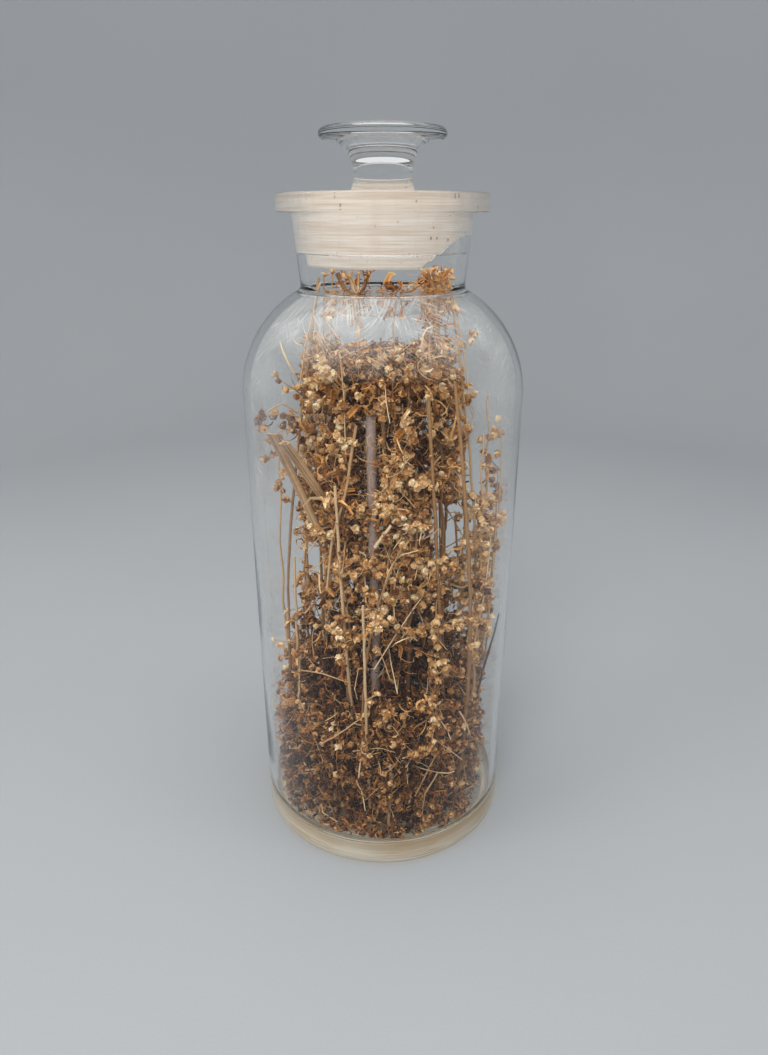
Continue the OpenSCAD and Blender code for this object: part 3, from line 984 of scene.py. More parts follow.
class StopperGlass:
    """The solid stopper: ground plug, waisted stem and disc knob, with a chip broken off the plug's foot."""

    turns = 360
    step = 0.55 * MM
    ripple = 0.06 * MM
    ripple_step = 0.9 * MM
    ripple_fade = 1.2 * MM
    strike_turn = 12.0
    sharp = 28.0

    def __init__(self, sizes: GlassSizes, clear: bpy.types.Material, ground: bpy.types.Material) -> None:
        """Takes the sizes and the two finishes."""
        self.s, self.clear, self.ground = sizes, clear, ground

    def lines(self) -> tuple[Profile, Profile, Profile]:
        """Lines of the plug's underside, of its ground side, and of its top, stem and knob."""
        s = self.s
        top_z = s.mouth_z - s.joint_bevel / 2
        waist = (s.waist_d / 2 + s.waist_r, s.mouth_z + s.waist_h)
        knob_z = s.mouth_z + s.knob_h
        flat_r = s.knob_r - s.knob_edge_r
        foot_x = waist[0] - math.sqrt(s.waist_r**2 - (waist[1] - top_z - s.crown_h) ** 2)
        under = dome(s.plug_r(s.plug_z) - 2 * s.joint_bevel, s.plug_z, s.dish_h, 20)[::-1]
        under[0] = (0.0, under[0][1])
        side = [
            (s.plug_r(s.plug_z) - s.joint_bevel, s.plug_z),
            (s.plug_r(s.plug_z + s.joint_bevel), s.plug_z + s.joint_bevel),
            (s.plug_r(top_z), top_z),
        ]
        crown = [p for p in dome(s.plug_r(top_z), top_z, s.crown_h, 24)[1:] if p[0] > foot_x + s.joint_bevel]
        low = 180 + math.degrees(math.asin((waist[1] - top_z - s.crown_h) / s.waist_r))
        high = 180 - math.degrees(math.asin((knob_z - waist[1]) / s.waist_r))
        upper = (
            crown
            + arc(waist, s.waist_r, low, high, 36)
            + arc((flat_r, knob_z + s.knob_edge_r), s.knob_edge_r, -90, 0, 10)
            + arc((flat_r, knob_z + s.knob_t - s.knob_edge_r), s.knob_edge_r, 0, 90, 10)
            + dome(flat_r, knob_z + s.knob_t, s.knob_crown_h, 24)[1:]
        )
        upper[-1] = (0.0, upper[-1][1])
        return under, side, upper

    def build(self) -> bpy.types.Object:
        """Builds and dresses the stopper, which replaces its solid."""
        under, side, upper = self.lines()
        under, side, upper = filled(under, self.step), filled(side, self.step), filled(upper, 2 * self.step)
        mesh = revolve("stopper_glass_mesh", under + side + upper, self.turns)
        mesh.materials.append(self.clear)
        mesh.materials.append(self.ground)
        kinds = np.zeros(len(mesh.polygons), np.int32)
        first = len(under) * self.turns
        kinds[first : first + (len(side) - 1) * self.turns] = Face.GROUND
        moved = self._chip(mesh)
        for i, polygon in enumerate(mesh.polygons):
            if all(moved[v] for v in polygon.vertices):
                kinds[i] = Face.CLEAR
        mesh.polygons.foreach_set("material_index", kinds)
        point_outwards(mesh)
        mesh.shade_smooth()
        mesh.set_sharp_from_angle(angle=math.radians(self.sharp))
        return settle("stopper_glass", mesh, Slot.STOPPER_GLASS, ["stopper"], Body.STOPPER)

    @staticmethod
    def chip_ball(s: GlassSizes) -> Vector:
        """Centre of the ball that the break at the foot of the plug follows."""
        fall = Vector((s.chip_h, -s.chip_run)).normalized()
        middle = (s.plug_r(s.plug_z) - s.chip_run / 2, s.plug_z + s.chip_h / 2)
        reach = s.chip_face_r - s.chip_scoop
        return at(s.chip_turn, middle[0] + fall[0] * reach, middle[1] + fall[1] * reach)

    def _chip(self, mesh: bpy.types.Mesh) -> np.ndarray:
        """Lays the foot of the plug onto the shell-shaped break.

        Args:
            mesh: The stopper's mesh.

        Returns:
            For each vertex, whether it lies on the break.
        """
        s = self.s
        centre = self.chip_ball(s)
        strike = at(s.chip_turn + self.strike_turn, s.plug_r(s.plug_z), s.plug_z)
        moved = np.zeros(len(mesh.vertices), bool)
        for i, vertex in enumerate(mesh.vertices):
            way = vertex.co - centre
            if way.length < s.chip_face_r - 1e-7:
                wave = math.sin((vertex.co - strike).length / self.ripple_step)
                dent = self.ripple * wave * min(1.0, (s.chip_face_r - way.length) / self.ripple_fade)
                vertex.co = centre + way.normalized() * (s.chip_face_r + max(dent, -self.ripple))
                moved[i] = True
        return moved


class InsideFilm:
    """Bloom, dust and painted sheen on the inside of the upper wall and the shoulder."""

    gap = 0.05 * MM
    wobble_share = 2.3
    low_z = 140 * MM
    step = 3 * MM
    turns = 160

    def __init__(self, sizes: GlassSizes, finish: bpy.types.Material) -> None:
        """Takes the sizes and the finish."""
        self.s, self.finish = sizes, finish

    def build(self) -> bpy.types.Object:
        """Builds and dresses the film, an open sheet just off the inner wall."""
        s = self.s
        clear = BottleGlass.wobble * self.wobble_share + self.gap
        top = s.bearing((s.throat_r + 2 * MM, s.throat_z))
        line = [(s.inner_r - clear, self.low_z)]
        line += arc((s.shoulder_x, s.body_h), s.shoulder_in_r - clear, 0, top, 40)
        mesh = revolve("inside_film_mesh", filled(line, self.step), self.turns)
        mesh.flip_normals()
        mesh.materials.append(self.finish)
        mesh.shade_smooth()
        return settle("inside_film", mesh, Slot.BOTTLE_GLASS)


# Herbs


@dataclass
class Strand:
    """One thin stalk: its points, their radii and its tint."""

    points: list[Vector]
    radii: list[float]
    tint: float
    part: Part = Part.TWIG


@dataclass(frozen=True)
class Sprout:
    """A head, leaf or thread: where it sits, where it points, its length and its tint."""

    part: Part
    place: Vector
    aim: Vector
    size: float
    tint: float


@dataclass
class Growth:
    """Everything that grows into one herb piece."""

    strands: list[Strand] = field(default_factory=list)
    sprouts: list[Sprout] = field(default_factory=list)


class HeadShapes:
    """The few low shapes that every flower head is one of."""

    count = 8
    sides = 5
    # Core rings as height, radius and shade, then the eye's height and shade: darkest in the sunken eye and round
    # it, partly the head's own dark centre and partly painted shade.
    core = ((0.0, 0.14, 0.35), (0.36, 0.47, 0.5), (0.76, 0.34, 0.2))
    eye = (0.62, 0.0)
    whorls = ((5, 0.02, 0.5, 0.74), (5, 0.2, 0.56, 0.98))
    missing = 0.1

    def collection(self) -> bpy.types.Collection:
        """Makes the shapes in a collection of their own, each one unit long and standing on its twig."""
        made = bpy.data.collections.new("flower_heads")
        for i in range(self.count):
            made.objects.link(bpy.data.objects.new(f"head_shape_{i}", self._shape(random.Random(40 + i))))
        return made

    def _shape(self, rng: random.Random) -> bpy.types.Mesh:
        """One head: a small cup with a sunken dark eye, in two rings of dry bracts whose tips stand off. Its
        shade is partly painted shade, darkest in the eye and between the bracts.
        """
        width, open_by = rng.uniform(0.88, 1.12), rng.uniform(-0.3, 0.12)
        verts: list[Vector] = []
        shade: list[float] = []
        for k, (z, r, light) in enumerate(self.core):
            for j in range(self.sides):
                a = 2 * math.pi * (j + 0.5 * (k % 2)) / self.sides
                verts.append(Vector((r * width * math.cos(a), r * width * math.sin(a), z)))
                shade.append(light)
        faces: list[list[int]] = [[*range(self.sides)][::-1]]
        for k in range(len(self.core) - 1):
            low, high = k * self.sides, (k + 1) * self.sides
            for j in range(self.sides):
                m = (j + 1) % self.sides
                faces.append([low + j, low + m, high + m, high + j])
        rim, eye = (len(self.core) - 1) * self.sides, len(verts)
        verts.append(Vector((0.0, 0.0, self.eye[0])))
        shade.append(self.eye[1])
        faces += [[rim + j, rim + (j + 1) % self.sides, eye] for j in range(self.sides)]
        for whorl, (count, low, out, high) in enumerate(self.whorls):
            for j in range(count):
                if rng.random() < self.missing:
                    continue
                a = 2 * math.pi * (j + 0.5 * whorl) / count + rng.uniform(-0.2, 0.2)
                out_way = Vector((math.cos(a), math.sin(a), 0.0))
                side = Vector((-math.sin(a), math.cos(a), 0.0)) * rng.uniform(0.22, 0.32)
                first = len(verts)
                belly = out_way * out * width * rng.uniform(0.85, 1.12) + Vector((0.0, 0.0, low + 0.36))
                tip_r = (out * (0.72 + open_by) + rng.uniform(-0.1, 0.2)) * width
                tip = out_way * tip_r + side * rng.uniform(-0.6, 0.6)
                tip += Vector((0.0, 0.0, high + rng.uniform(-0.14, 0.2)))
                root = out_way * 0.14 + Vector((0.0, 0.0, low))
                verts += [root - side * 0.5, root + side * 0.5, belly + side, belly - side, tip]
                light = rng.uniform(-0.16, 0.16)
                # Bract shade: dark at the root between the bracts as painted shade, one side of the belly lighter
                # than the other as painted light, and palest at the tip, the bract's own pale margin.
                shade += [0.25, 0.25, 0.62 + light, 0.5 + light, 1.0 + light]
                faces += [[first, first + 1, first + 2, first + 3], [first + 3, first + 2, first + 4]]
        return plain_mesh("head_shape", verts, faces, shade)


@dataclass(frozen=True)
class StripShapes:
    """The few low shapes of leaves or threads: folded strips that curl and twist."""

    name: str
    count: int
    steps: int
    width: tuple[float, float]
    curl: tuple[float, float]
    twist: float
    seed: int

    def collection(self) -> bpy.types.Collection:
        """Makes the shapes in a collection of their own, each one unit long and rooted at the origin."""
        made = bpy.data.collections.new(self.name)
        for i in range(self.count):
            shape = self._shape(random.Random(self.seed + i))
            made.objects.link(bpy.data.objects.new(f"{self.name}_shape_{i}", shape))
        return made

    def _shape(self, rng: random.Random) -> bpy.types.Mesh:
        """One strip, folded along its rib."""
        width, curl = rng.uniform(*self.width), rng.uniform(*self.curl)
        twist, wave = rng.uniform(-self.twist, self.twist), rng.uniform(-2.0, 2.0)
        verts: list[Vector] = []
        shade: list[float] = []
        place, angle = Vector((0.0, 0.0, 0.0)), 0.0
        for i in range(self.steps + 1):
            t = i / self.steps
            half = width * math.sin(math.pi * min(0.95, 0.14 + 0.82 * t)) ** 0.7
            turn = Matrix.Rotation(twist * t, 3, "Z")
            way = turn @ Vector((math.sin(angle), 0.0, math.cos(angle)))
            side = turn @ Vector((0.0, 1.0, 0.0))
            fold = way.cross(side) * half * 0.8
            verts += [place - side * half + fold, place.copy(), place + side * half + fold]
            # Shade: darker along the folded rib as painted shade in the crease, one edge paler than the other as
            # painted light, and all of it paler towards the tip.
            shade += [0.5 + 0.4 * t, 0.25 + 0.3 * t, 0.6 + 0.4 * t]
            place = place + way / self.steps
            angle += (curl + wave * math.sin(2 * math.pi * t)) / self.steps
        faces = []
        for i in range(self.steps):
            a, b = 3 * i, 3 * (i + 1)
            faces += [[a, a + 1, b + 1, b], [a + 1, a + 2, b + 2, b + 1]]
        return plain_mesh(self.name + "_shape", verts, faces, shade)


def hold(mesh: bpy.types.Mesh, label: str, values: Sequence[float]) -> None:
    """Keeps a number at each point of a mesh."""
    mesh.attributes.new(label, "FLOAT", "POINT").data.foreach_set("value", np.array(values, np.float32))


def plain_mesh(
    name: str, verts: Sequence[Vector], faces: Sequence[Any], shade: Sequence[float]
) -> bpy.types.Mesh:
    """Makes a mesh that holds a shade at each point."""
    mesh = bpy.data.meshes.new(name)
    mesh.from_pydata(verts, [], faces)
    hold(mesh, "shade", shade)
    return mesh


class HerbTree:
    """The Geometry Nodes tree that gives a herb's skeleton its stalks, heads, leaves and threads."""

    name = "herb_dressing"
    counts = {"Twig Sides": 4, "Stalk Ribs": 7, "Seed": 1}
    inputs = {
        "Int": tuple(counts),
        "Collection": ("Heads", "Leaves", "Threads"),
        "Material": ("Stalk Finish", "Head Finish", "Leaf Finish"),
    }

    def __init__(self) -> None:
        """Builds the tree once."""
        self.tree = bpy.data.node_groups.new(self.name, "GeometryNodeTree")
        face = self.tree.interface
        face.new_socket("Geometry", in_out="INPUT", socket_type="NodeSocketGeometry")
        self.ids: dict[str, str] = {}
        for kind, labels in self.inputs.items():
            for label in labels:
                socket = face.new_socket(label, in_out="INPUT", socket_type="NodeSocket" + kind)
                if kind == "Int":
                    socket.default_value = self.counts[label]
                self.ids[label] = socket.identifier
        face.new_socket("Geometry", in_out="OUTPUT", socket_type="NodeSocketGeometry")
        self._wire()

    def _wire(self) -> None:
        """Adds the nodes."""
        n = Nodes(self.tree)
        entry = n.add("NodeGroupInput").outputs
        kind = n.out("GeometryNodeInputNamedAttribute", {"Name": "part"}, data_type="INT")
        made = []
        for part in Part:
            chosen = n.add("FunctionNodeCompare", data_type="INT", operation="EQUAL")
            n.tree.links.new(kind, n.pick(chosen.inputs, "A"))
            n.pick(chosen.inputs, "B").default_value = int(part)
            feeds = {"Geometry": entry["Geometry"], "Selection": chosen.outputs[0]}
            mesh = n.out("GeometryNodeSeparateGeometry", feeds, domain="POINT")
            if part in (Part.TWIG, Part.STALK):
                ribs = self._profile(n, part, entry["Twig Sides" if part is Part.TWIG else "Stalk Ribs"])
                made.append(self._rods(n, mesh, ribs, entry["Stalk Finish"]))
            else:
                shapes = entry[{Part.HEAD: "Heads", Part.LEAF: "Leaves", Part.THREAD: "Threads"}[part]]
                finish = entry["Head Finish" if part is Part.HEAD else "Leaf Finish"]
                made.append(self._copies(n, mesh, shapes, entry["Seed"], finish))
        join = n.add("GeometryNodeJoinGeometry")
        for branch in made:
            n.tree.links.new(branch, join.inputs[0])
        n.add("NodeGroupOutput", {"Geometry": join.outputs[0]})

    @staticmethod
    def _profile(n: Nodes, part: Part, count: Any) -> Socket:
        """Section of a rod: plain for a twig, ribbed for a stalk."""
        if part is Part.TWIG:
            return n.out("GeometryNodeCurvePrimitiveCircle", {"Resolution": count, "Radius": 1.0})
        return n.out("GeometryNodeCurveStar", {"Points": count, "Inner Radius": 0.84, "Outer Radius": 1.0})

    @staticmethod
    def _rods(n: Nodes, mesh: Any, ring: Any, finish: Any) -> Socket:
        """Gives edges their thickness."""
        curve = n.out("GeometryNodeMeshToCurve", {"Mesh": mesh})
        thick = n.out("GeometryNodeInputNamedAttribute", {"Name": "thick"}, data_type="FLOAT")
        feeds = {"Curve": curve, "Profile Curve": ring, "Scale": thick, "Fill Caps": True}
        rods = n.out("GeometryNodeCurveToMesh", feeds)
        smooth = n.out("GeometryNodeSetShadeSmooth", {"Geometry": rods, "Shade Smooth": True})
        return n.out("GeometryNodeSetMaterial", {"Geometry": smooth, "Material": finish})

    @staticmethod
    def _copies(n: Nodes, points: Any, shapes: Any, seed: Any, finish: Any) -> Socket:
        """Puts a shape on each point, aimed, turned and sized."""
        aim = n.out("GeometryNodeInputNamedAttribute", {"Name": "aim"}, data_type="FLOAT_VECTOR")
        size = n.out("GeometryNodeInputNamedAttribute", {"Name": "size"}, data_type="FLOAT")
        feeds = {"Collection": shapes, "Separate Children": True, "Reset Children": True}
        info = n.out("GeometryNodeCollectionInfo", feeds)
        which = n.out("FunctionNodeRandomValue", {"Min": 0, "Max": 1000, "Seed": seed}, data_type="INT")
        turn = n.out(
            "FunctionNodeRandomValue", {"Min": 0.0, "Max": 2 * math.pi, "Seed": seed}, data_type="FLOAT"
        )
        stand = n.out("FunctionNodeAlignRotationToVector", {"Vector": aim}, axis="Z")
        spin = n.out("FunctionNodeAxisAngleToRotation", {"Axis": (0.0, 0.0, 1.0), "Angle": turn})
        rotation = n.out(
            "FunctionNodeRotateRotation", {"Rotation": stand, "Rotate By": spin}, rotation_space="LOCAL"
        )
        feeds = {
            "Points": points,
            "Instance": info,
            "Pick Instance": True,
            "Instance Index": which,
            "Rotation": rotation,
            "Scale": size,
        }
        copies = n.out("GeometryNodeInstanceOnPoints", feeds)
        real = n.out("GeometryNodeRealizeInstances", {"Geometry": copies})
        return n.out("GeometryNodeSetMaterial", {"Geometry": real, "Material": finish})


@dataclass
class HerbKit:
    """What every herb piece is dressed with."""

    cavity: Cavity
    tree: HerbTree
    inputs: Mapping[str, Any]
    dark_finish: bpy.types.Material

    def dress(
        self, name: str, growth: Growth, seed: int, slot: Slot, nodes: Sequence[str] = ()
    ) -> bpy.types.Object:
        """Turns a growth into a finished piece.

        Args:
            name: Name of the piece.
            growth: Its strands, heads, leaves and threads.
            seed: Seed for which shape each of them takes.
            slot: Record slot of its finish, which also says whether its stalks are dark.
            nodes: Nodes of the frame that it stands for.

        Returns:
            The piece, riding on the bottle.
        """
        carrier = link(bpy.data.objects.new(name + "_skeleton", self._skeleton(name, growth)))
        modifier = carrier.modifiers.new("dressing", "NODES")
        modifier.node_group = self.tree.tree
        chosen = {**self.inputs, "Seed": seed}
        if slot is Slot.DARK_STALKS:
            chosen["Stalk Finish"] = self.dark_finish
        for label, value in chosen.items():
            modifier[self.tree.ids[label]] = value
        graph = bpy.context.evaluated_depsgraph_get()
        finished = carrier.evaluated_get(graph)
        mesh = bpy.data.meshes.new_from_object(finished, preserve_all_data_layers=True, depsgraph=graph)
        bpy.data.objects.remove(carrier)
        for spare in ("part", "thick", "aim", "size"):
            if spare in mesh.attributes:
                mesh.attributes.remove(mesh.attributes[spare])
        self.cavity.press(mesh)
        mesh.name = name + "_mesh"
        LOG.info("%s grows %d strands and %d sprouts", name, len(growth.strands), len(growth.sprouts))
        return settle(name, mesh, slot, nodes)

    @staticmethod
    def _skeleton(name: str, growth: Growth) -> bpy.types.Mesh:
        """Points and edges of a growth, with what each point becomes."""
        verts: list[Vector] = []
        edges: list[tuple[int, int]] = []
        rows: list[tuple[int, float, Vector, float, float, float]] = []
        up = Vector((0.0, 0.0, 1.0))
        for strand in growth.strands:
            first = len(verts)
            count = len(strand.points)
            for i, (p, r) in enumerate(zip(strand.points, strand.radii)):
                verts.append(p)
                # Strand shade, added to the tone as painted shade: dark at the foot, lighter towards the tip.
                rows.append((int(strand.part), r, up, 1.0, strand.tint, 0.35 + 0.3 * i / count))
            edges += [(first + i, first + i + 1) for i in range(count - 1)]
        for s in growth.sprouts:
            verts.append(s.place)
            rows.append((int(s.part), 0.0, s.aim, s.size, s.tint, 0.5))
        mesh = bpy.data.meshes.new(name + "_points")
        mesh.from_pydata(verts, edges, [])
        parts, thick, aims, sizes, tints, shades = zip(*rows)
        mesh.attributes.new("part", "INT", "POINT").data.foreach_set("value", np.array(parts, np.int32))
        for label, values in (("thick", thick), ("size", sizes), ("tint", tints), ("shade", shades)):
            hold(mesh, label, values)
        flat = np.array([tuple(aim) for aim in aims], np.float32).ravel()
        mesh.attributes.new("aim", "FLOAT_VECTOR", "POINT").data.foreach_set("vector", flat)
        return mesh


def held(value: float, least: float = 0.0, most: float = 1.0) -> float:
    """A value, held between two limits."""
    return max(least, min(most, value))


class Gardener:
    """Grows stalks, twigs, heads, leaves and threads inside the bottle from one seed."""

    margin = 1.5 * MM
    twig_step = 2.0 * MM
    head_shift = 0.02
    # Heights and radii in millimetres: inside this radius the painted shade darkens the herbs. It reaches less
    # far in at the neck.
    painted_shade_radius = ((78, 123, 205, 232), (48, 35, 35, 20))

    def __init__(self, kit: HerbKit, seed: int, allowed: Optional[Callable[[Vector], bool]] = None) -> None:
        self.kit, self.cavity, self.seed = kit, kit.cavity, seed
        self.rng = random.Random(seed)
        self.allowed = allowed or (lambda p: True)
        self.growth = Growth()

    def finish(self, name: str, slot: Slot = Slot.FLOWERS, node: str = "") -> bpy.types.Object:
        """Dresses what has grown, in place of a node if one is named."""
        return self.kit.dress(name, self.growth, self.seed, slot, [node] if node else [])

    def direction(self, flat: float = 1.0) -> Vector:
        """A random direction, flattened towards the level where flat is under 1."""
        while True:
            v = Vector([self.rng.uniform(-1, 1) for _ in range(3)])
            if 0.1 < v.length < 1:
                v.z *= flat
                return v.normalized()

    def tone(self, place: Vector, shift: float = 0.0) -> float:
        """Tint at a place, with painted shade that makes it darker and redder low in the bottle and far inside
        the herbs, and with a few pale ones.
        """
        # Painted shade: darker low in the bottle and towards the middle of the herbs.
        low = held((105 * MM - place.z) / (60 * MM))
        painted_shade_radius = float(np.interp(place.z / MM, *self.painted_shade_radius)) * MM
        painted_depth_shade = held((painted_shade_radius - math.hypot(place.x, place.y)) / (18 * MM))
        base = self.rng.gauss(0.62 - 0.31 * low - 0.36 * painted_depth_shade, 0.13) + shift
        if self.rng.random() < 0.03:
            base += 0.18
        return held(base, 0.05, 0.98)

    def stalk(
        self,
        points: Sequence[Vector],
        d0: float,
        d1: float,
        tint: float,
        part: Part = Part.STALK,
        wander: float = 0.35 * MM,
    ) -> list[Vector]:
        """Adds a stalk through given points, smoothed and a little uneven.

        Args:
            points: Points it passes.
            d0: Thickness at its foot.
            d1: Thickness at its tip.
            tint: Its tint.
            part: Stalk or twig.
            wander: How far it strays from its line.

        Returns:
            The points of the stalk.
        """
        line = smooth_line(points, 4 if part is Part.STALK else 3)
        made = []
        for i, p in enumerate(line):
            off = self.direction() * wander * self.rng.random() if 0 < i < len(line) - 1 else Vector()
            made.append(self.cavity.inside(p + off, max(d0, d1) / 2 + 0.35 * MM))
        last = len(made) - 1
        even = [(d0 + (d1 - d0) * i / last) / 2 for i in range(last + 1)]
        radii = [max(0.05 * MM, r * self.rng.uniform(0.9, 1.1)) for r in even]
        self.growth.strands.append(Strand(made, radii, tint, part))
        return made

    def head(self, place: Vector, aim: Vector, size: float, shift: float = 0.0) -> None:
        """Adds a flower head whose foot is at a place."""
        length = size * self.rng.uniform(0.66, 1.16)
        aim = (aim + self.direction() * 0.5).normalized()
        tip = self.cavity.inside(place + aim * length, 0.6 * MM)
        if (tip - place).length < length * 0.5:
            place = self.cavity.inside(place - aim * length * 0.5, 1.6 * MM)
        if self.allowed(place):
            tint = self.tone(place, shift + self.head_shift)
            self.growth.sprouts.append(Sprout(Part.HEAD, place, (tip - place).normalized(), length, tint))

    def scrap(self, part: Part, place: Vector, aim: Vector, size: float, shift: float = 0.0) -> None:
        """Adds a curled leaf or a thread."""
        length = size * self.rng.uniform(0.6, 1.4)
        place = self.cavity.inside(place, min(1.2 * MM + length * 0.4, 4.5 * MM))
        if self.allowed(place):
            way = (aim + self.direction() * 0.8).normalized()
            reach = self.cavity.inside(place + way * length * 0.8, 0.8 * MM) - place
            tint = self.tone(place, shift)
            sprout = Sprout(part, place, reach.normalized(), min(length, reach.length * 1.4), tint)
            self.growth.sprouts.append(sprout)

    def raceme(
        self,
        root: Vector,
        aim: Vector,
        length: float,
        droop: float = 0.0,
        bare: float = 0.12,
        head: float = HEAD_L,
        thick: float = 0.62 * MM,
        shift: Optional[float] = None,
        branching: float = 0.2,
    ) -> None:
        """Adds a side twig set with heads like beads, and shorter ones along it.

        Args:
            root: Where it leaves its stalk.
            aim: Its first direction.
            length: Its length.
            droop: How fast it bends down.
            bare: Share of the twig before its first head.
            head: Length of a head.
            thick: Thickness at its root.
            shift: How much paler its heads are than those around it.
            branching: How often a shorter twig leaves it.
        """
        step = self.twig_step
        count = max(2, round(length / step))
        points, way = [root.copy()], aim.normalized()
        for _ in range(count):
            way = (way + self.direction() * 0.24 + Vector((0.0, 0.0, -droop))).normalized()
            points.append(self.cavity.inside(points[-1] + way * step, self.margin))
        if not self.allowed(points[-1]) or not self.allowed(points[len(points) // 2]):
            return
        shift = self.rng.gauss(0.0, 0.11) if shift is None else shift
        radii = [max(0.1 * MM, thick / 2 * (1 - 0.68 * i / count)) for i in range(count + 1)]
        self.growth.strands.append(Strand(points, radii, held(self.rng.gauss(0.62, 0.14), 0.15, 0.95)))
        turn = self.rng.uniform(0, 2 * math.pi)
        run = bare * length
        while run < length * 0.98:
            i = min(int(run / step), count - 1)
            p = points[i].lerp(points[i + 1], min(run / step - i, 1.0))
            along = (points[i + 1] - points[i]).normalized()
            side = along.orthogonal().normalized()
            side.rotate(Matrix.Rotation(turn, 3, along))
            out = (side * 0.95 + along * 0.4 - Vector((0.0, 0.0, 0.2))).normalized()
            if branching and self.rng.random() < branching:
                side_l = self.rng.uniform(4, 9) * MM
                self.raceme(p, out + along, side_l, droop, 0.2, head * 0.94, thick * 0.7, shift, 0.0)
            else:
                reach = self.rng.uniform(0.1, 0.9) * MM
                self.head(self.cavity.inside(p + out * reach, self.margin), out, head, shift)
            if self.rng.random() < 0.55:
                self.scrap(Part.LEAF, p, out, self.rng.uniform(1.8, 4.4) * MM, shift)
            turn += math.radians(GOLDEN)
            run += head * self.rng.uniform(0.7, 1.35)
        self.head(points[-1], (points[-1] - points[-2]).normalized(), head, shift)

    def tangle(self, leaves: int, threads: int, pick: Callable[[], Vector], flat: float, size: float) -> None:
        """Fills a space with curled leaves and threads.

        Args:
            leaves: How many leaves.
            threads: How many threads.
            pick: Gives a random place.
            flat: How level they lie.
            size: Their size against the usual one.
        """
        for _ in range(leaves):
            length = (2.2 + 4.6 * self.rng.random() ** 3) * MM * size
            self.scrap(Part.LEAF, pick(), self.direction(flat), length, self.rng.gauss(-0.04, 0.1))
        for _ in range(threads):
            place, way, length = pick(), self.direction(flat), self.rng.uniform(4.5, 12) * MM * size
            self.scrap(Part.THREAD, place, way, length, self.rng.gauss(0.12, 0.1))

    def twigs(self, count: int, pick: Callable[[], Vector], reach: tuple[float, float], flat: float) -> None:
        """Adds bare twigs that cross a space.

        Args:
            count: How many.
            pick: Gives a random place.
            reach: Least and greatest length in millimetres.
            flat: How level they lie.
        """
        for _ in range(count):
            p, way, length = pick(), self.direction(flat), self.rng.uniform(*reach) * MM
            ends = [p - way * length / 2, p + self.direction() * length * 0.1, p + way * length / 2]
            if all(self.allowed(q) for q in ends):
                d = self.rng.uniform(0.35, 0.8) * MM
                self.stalk(ends, d, d * 0.6, self.rng.uniform(0.5, 0.95), Part.TWIG, 0.3 * MM)


def smooth_line(points: Sequence[Vector], pieces: int) -> list[Vector]:
    """A smooth line through points, with each span cut into pieces."""
    if len(points) < 3:
        return [points[0].lerp(points[-1], i / pieces) for i in range(pieces + 1)]
    ends = [points[0] * 2 - points[1], *points, points[-1] * 2 - points[-2]]
    made = []
    for a, b, c, d in zip(ends, ends[1:], ends[2:], ends[3:]):
        for i in range(pieces):
            t = i / pieces
            bend = (2 * a - 5 * b + 4 * c - d) * t * t + (3 * b - a - 3 * c + d) * t**3
            made.append(0.5 * (2 * b + (c - a) * t + bend))
    made.append(points[-1].copy())
    return made


@dataclass(frozen=True)
class Envelope:
    """Where the herbs stand as seen from the front: their edges, the gaps between them and the dark hollows.

    Places are given as they show on an upright plane through the bottle's axis, in millimetres. A gap or
    hollow is its left, right, lower and upper edge.
    """

    heights: tuple[float, ...] = (-30, 4, 38, 58, 76, 98, 121, 137, 159, 181, 198, 214, 232, 252)
    lefts: tuple[float, ...] = (-44, -50, -53, -52, -45, -41, -38, -38, -39, -42, -41, -34, -30, -29)
    rights: tuple[float, ...] = (42, 47, 50, 48, 50, 52, 52, 54, 54, 54, 38, 30, 29, 31)
    gaps: tuple[Box, ...] = (
        (21, 34, 126, 153), (36.5, 49, 163, 187), (-33, -27, 118, 134), (-17, 13, 222, 238)
    )
    hollows: tuple[Box, ...] = ((12, 19.5, 164, 192), (-12.5, 0, 132, 141), (8.5, 14, 196, 203))
    hollow_depth: float = -6 * MM
    clearing: Box = (-10.5, -1.5, 161, 200)
    clearing_depth: float = -19 * MM

    def seen(self, p: Vector) -> tuple[float, float]:
        """Place of a point on the upright plane through the axis, as the camera sees it."""
        k = Studio.eye.y / (Studio.eye.y - p.y)
        return (Studio.eye.x + (p.x - Studio.eye.x) * k) / MM, (Studio.eye.z + (p.z - Studio.eye.z) * k) / MM

    def holds(self, p: Vector) -> bool:
        """Whether a point is between the edges and out of the gaps and hollows."""
        left, right, low, high = (edge * MM for edge in self.clearing)
        if p.y < self.clearing_depth and left < p.x < right and low < p.z < high:
            return False
        x, z = self.seen(p)
        if not np.interp(z, self.heights, self.lefts) <= x <= np.interp(z, self.heights, self.rights):
            return False
        if any(a < x < b and c < z < d for a, b, c, d in self.gaps):
            return False
        return not (p.y < self.hollow_depth and any(a < x < b and c < z < d for a, b, c, d in self.hollows))


@dataclass(frozen=True)
class SprigRow:
    """Route of one sprig, as in the part's source: azimuths in degrees, insets in millimetres."""

    foot_turn: float
    foot_in: float
    tip_turn: float
    tip_in: float
    tip_z: float
    first: float
    last: float
    twigs: int


def room(share: float) -> float:
    """Height inside the straight body, as a share of its room."""
    return SIZES.base_t + (SIZES.body_h - SIZES.base_t) * share


RING_IN, NECK_TIP = 18, SIZES.plug_z - 4 * MM
WALL_ROWS = (
    (3, 3, 5, 14, room(0.34), 0.2, 0.96, 7),
    (33, 3, 30, 12, room(0.42), 0.2, 0.96, 8),
    (61, 3, 61, 10, room(0.94), 0.24, 0.98, 13),
    (93, 3, 94, 10, room(0.99), 0.2, 0.98, 14),
    (120, 3, 122, 10, room(0.86), 0.28, 0.98, 11),
    (148, 3, 150, 10, room(0.66), 0.28, 0.98, 9),
    (178, 3, 176, 10, room(0.8), 0.28, 0.98, 10),
    (208, 3, 206, 10, room(0.6), 0.28, 0.98, 8),
    (238, 3, 236, 10, room(0.74), 0.34, 0.98, 9),
    (268, 3, 266, 10, room(0.92), 0.4, 0.98, 9),
    (300, 3, 300, 13, room(0.42), 0.2, 0.96, 8),
    (330, 3, 330, 14, room(0.36), 0.2, 0.96, 7),
)
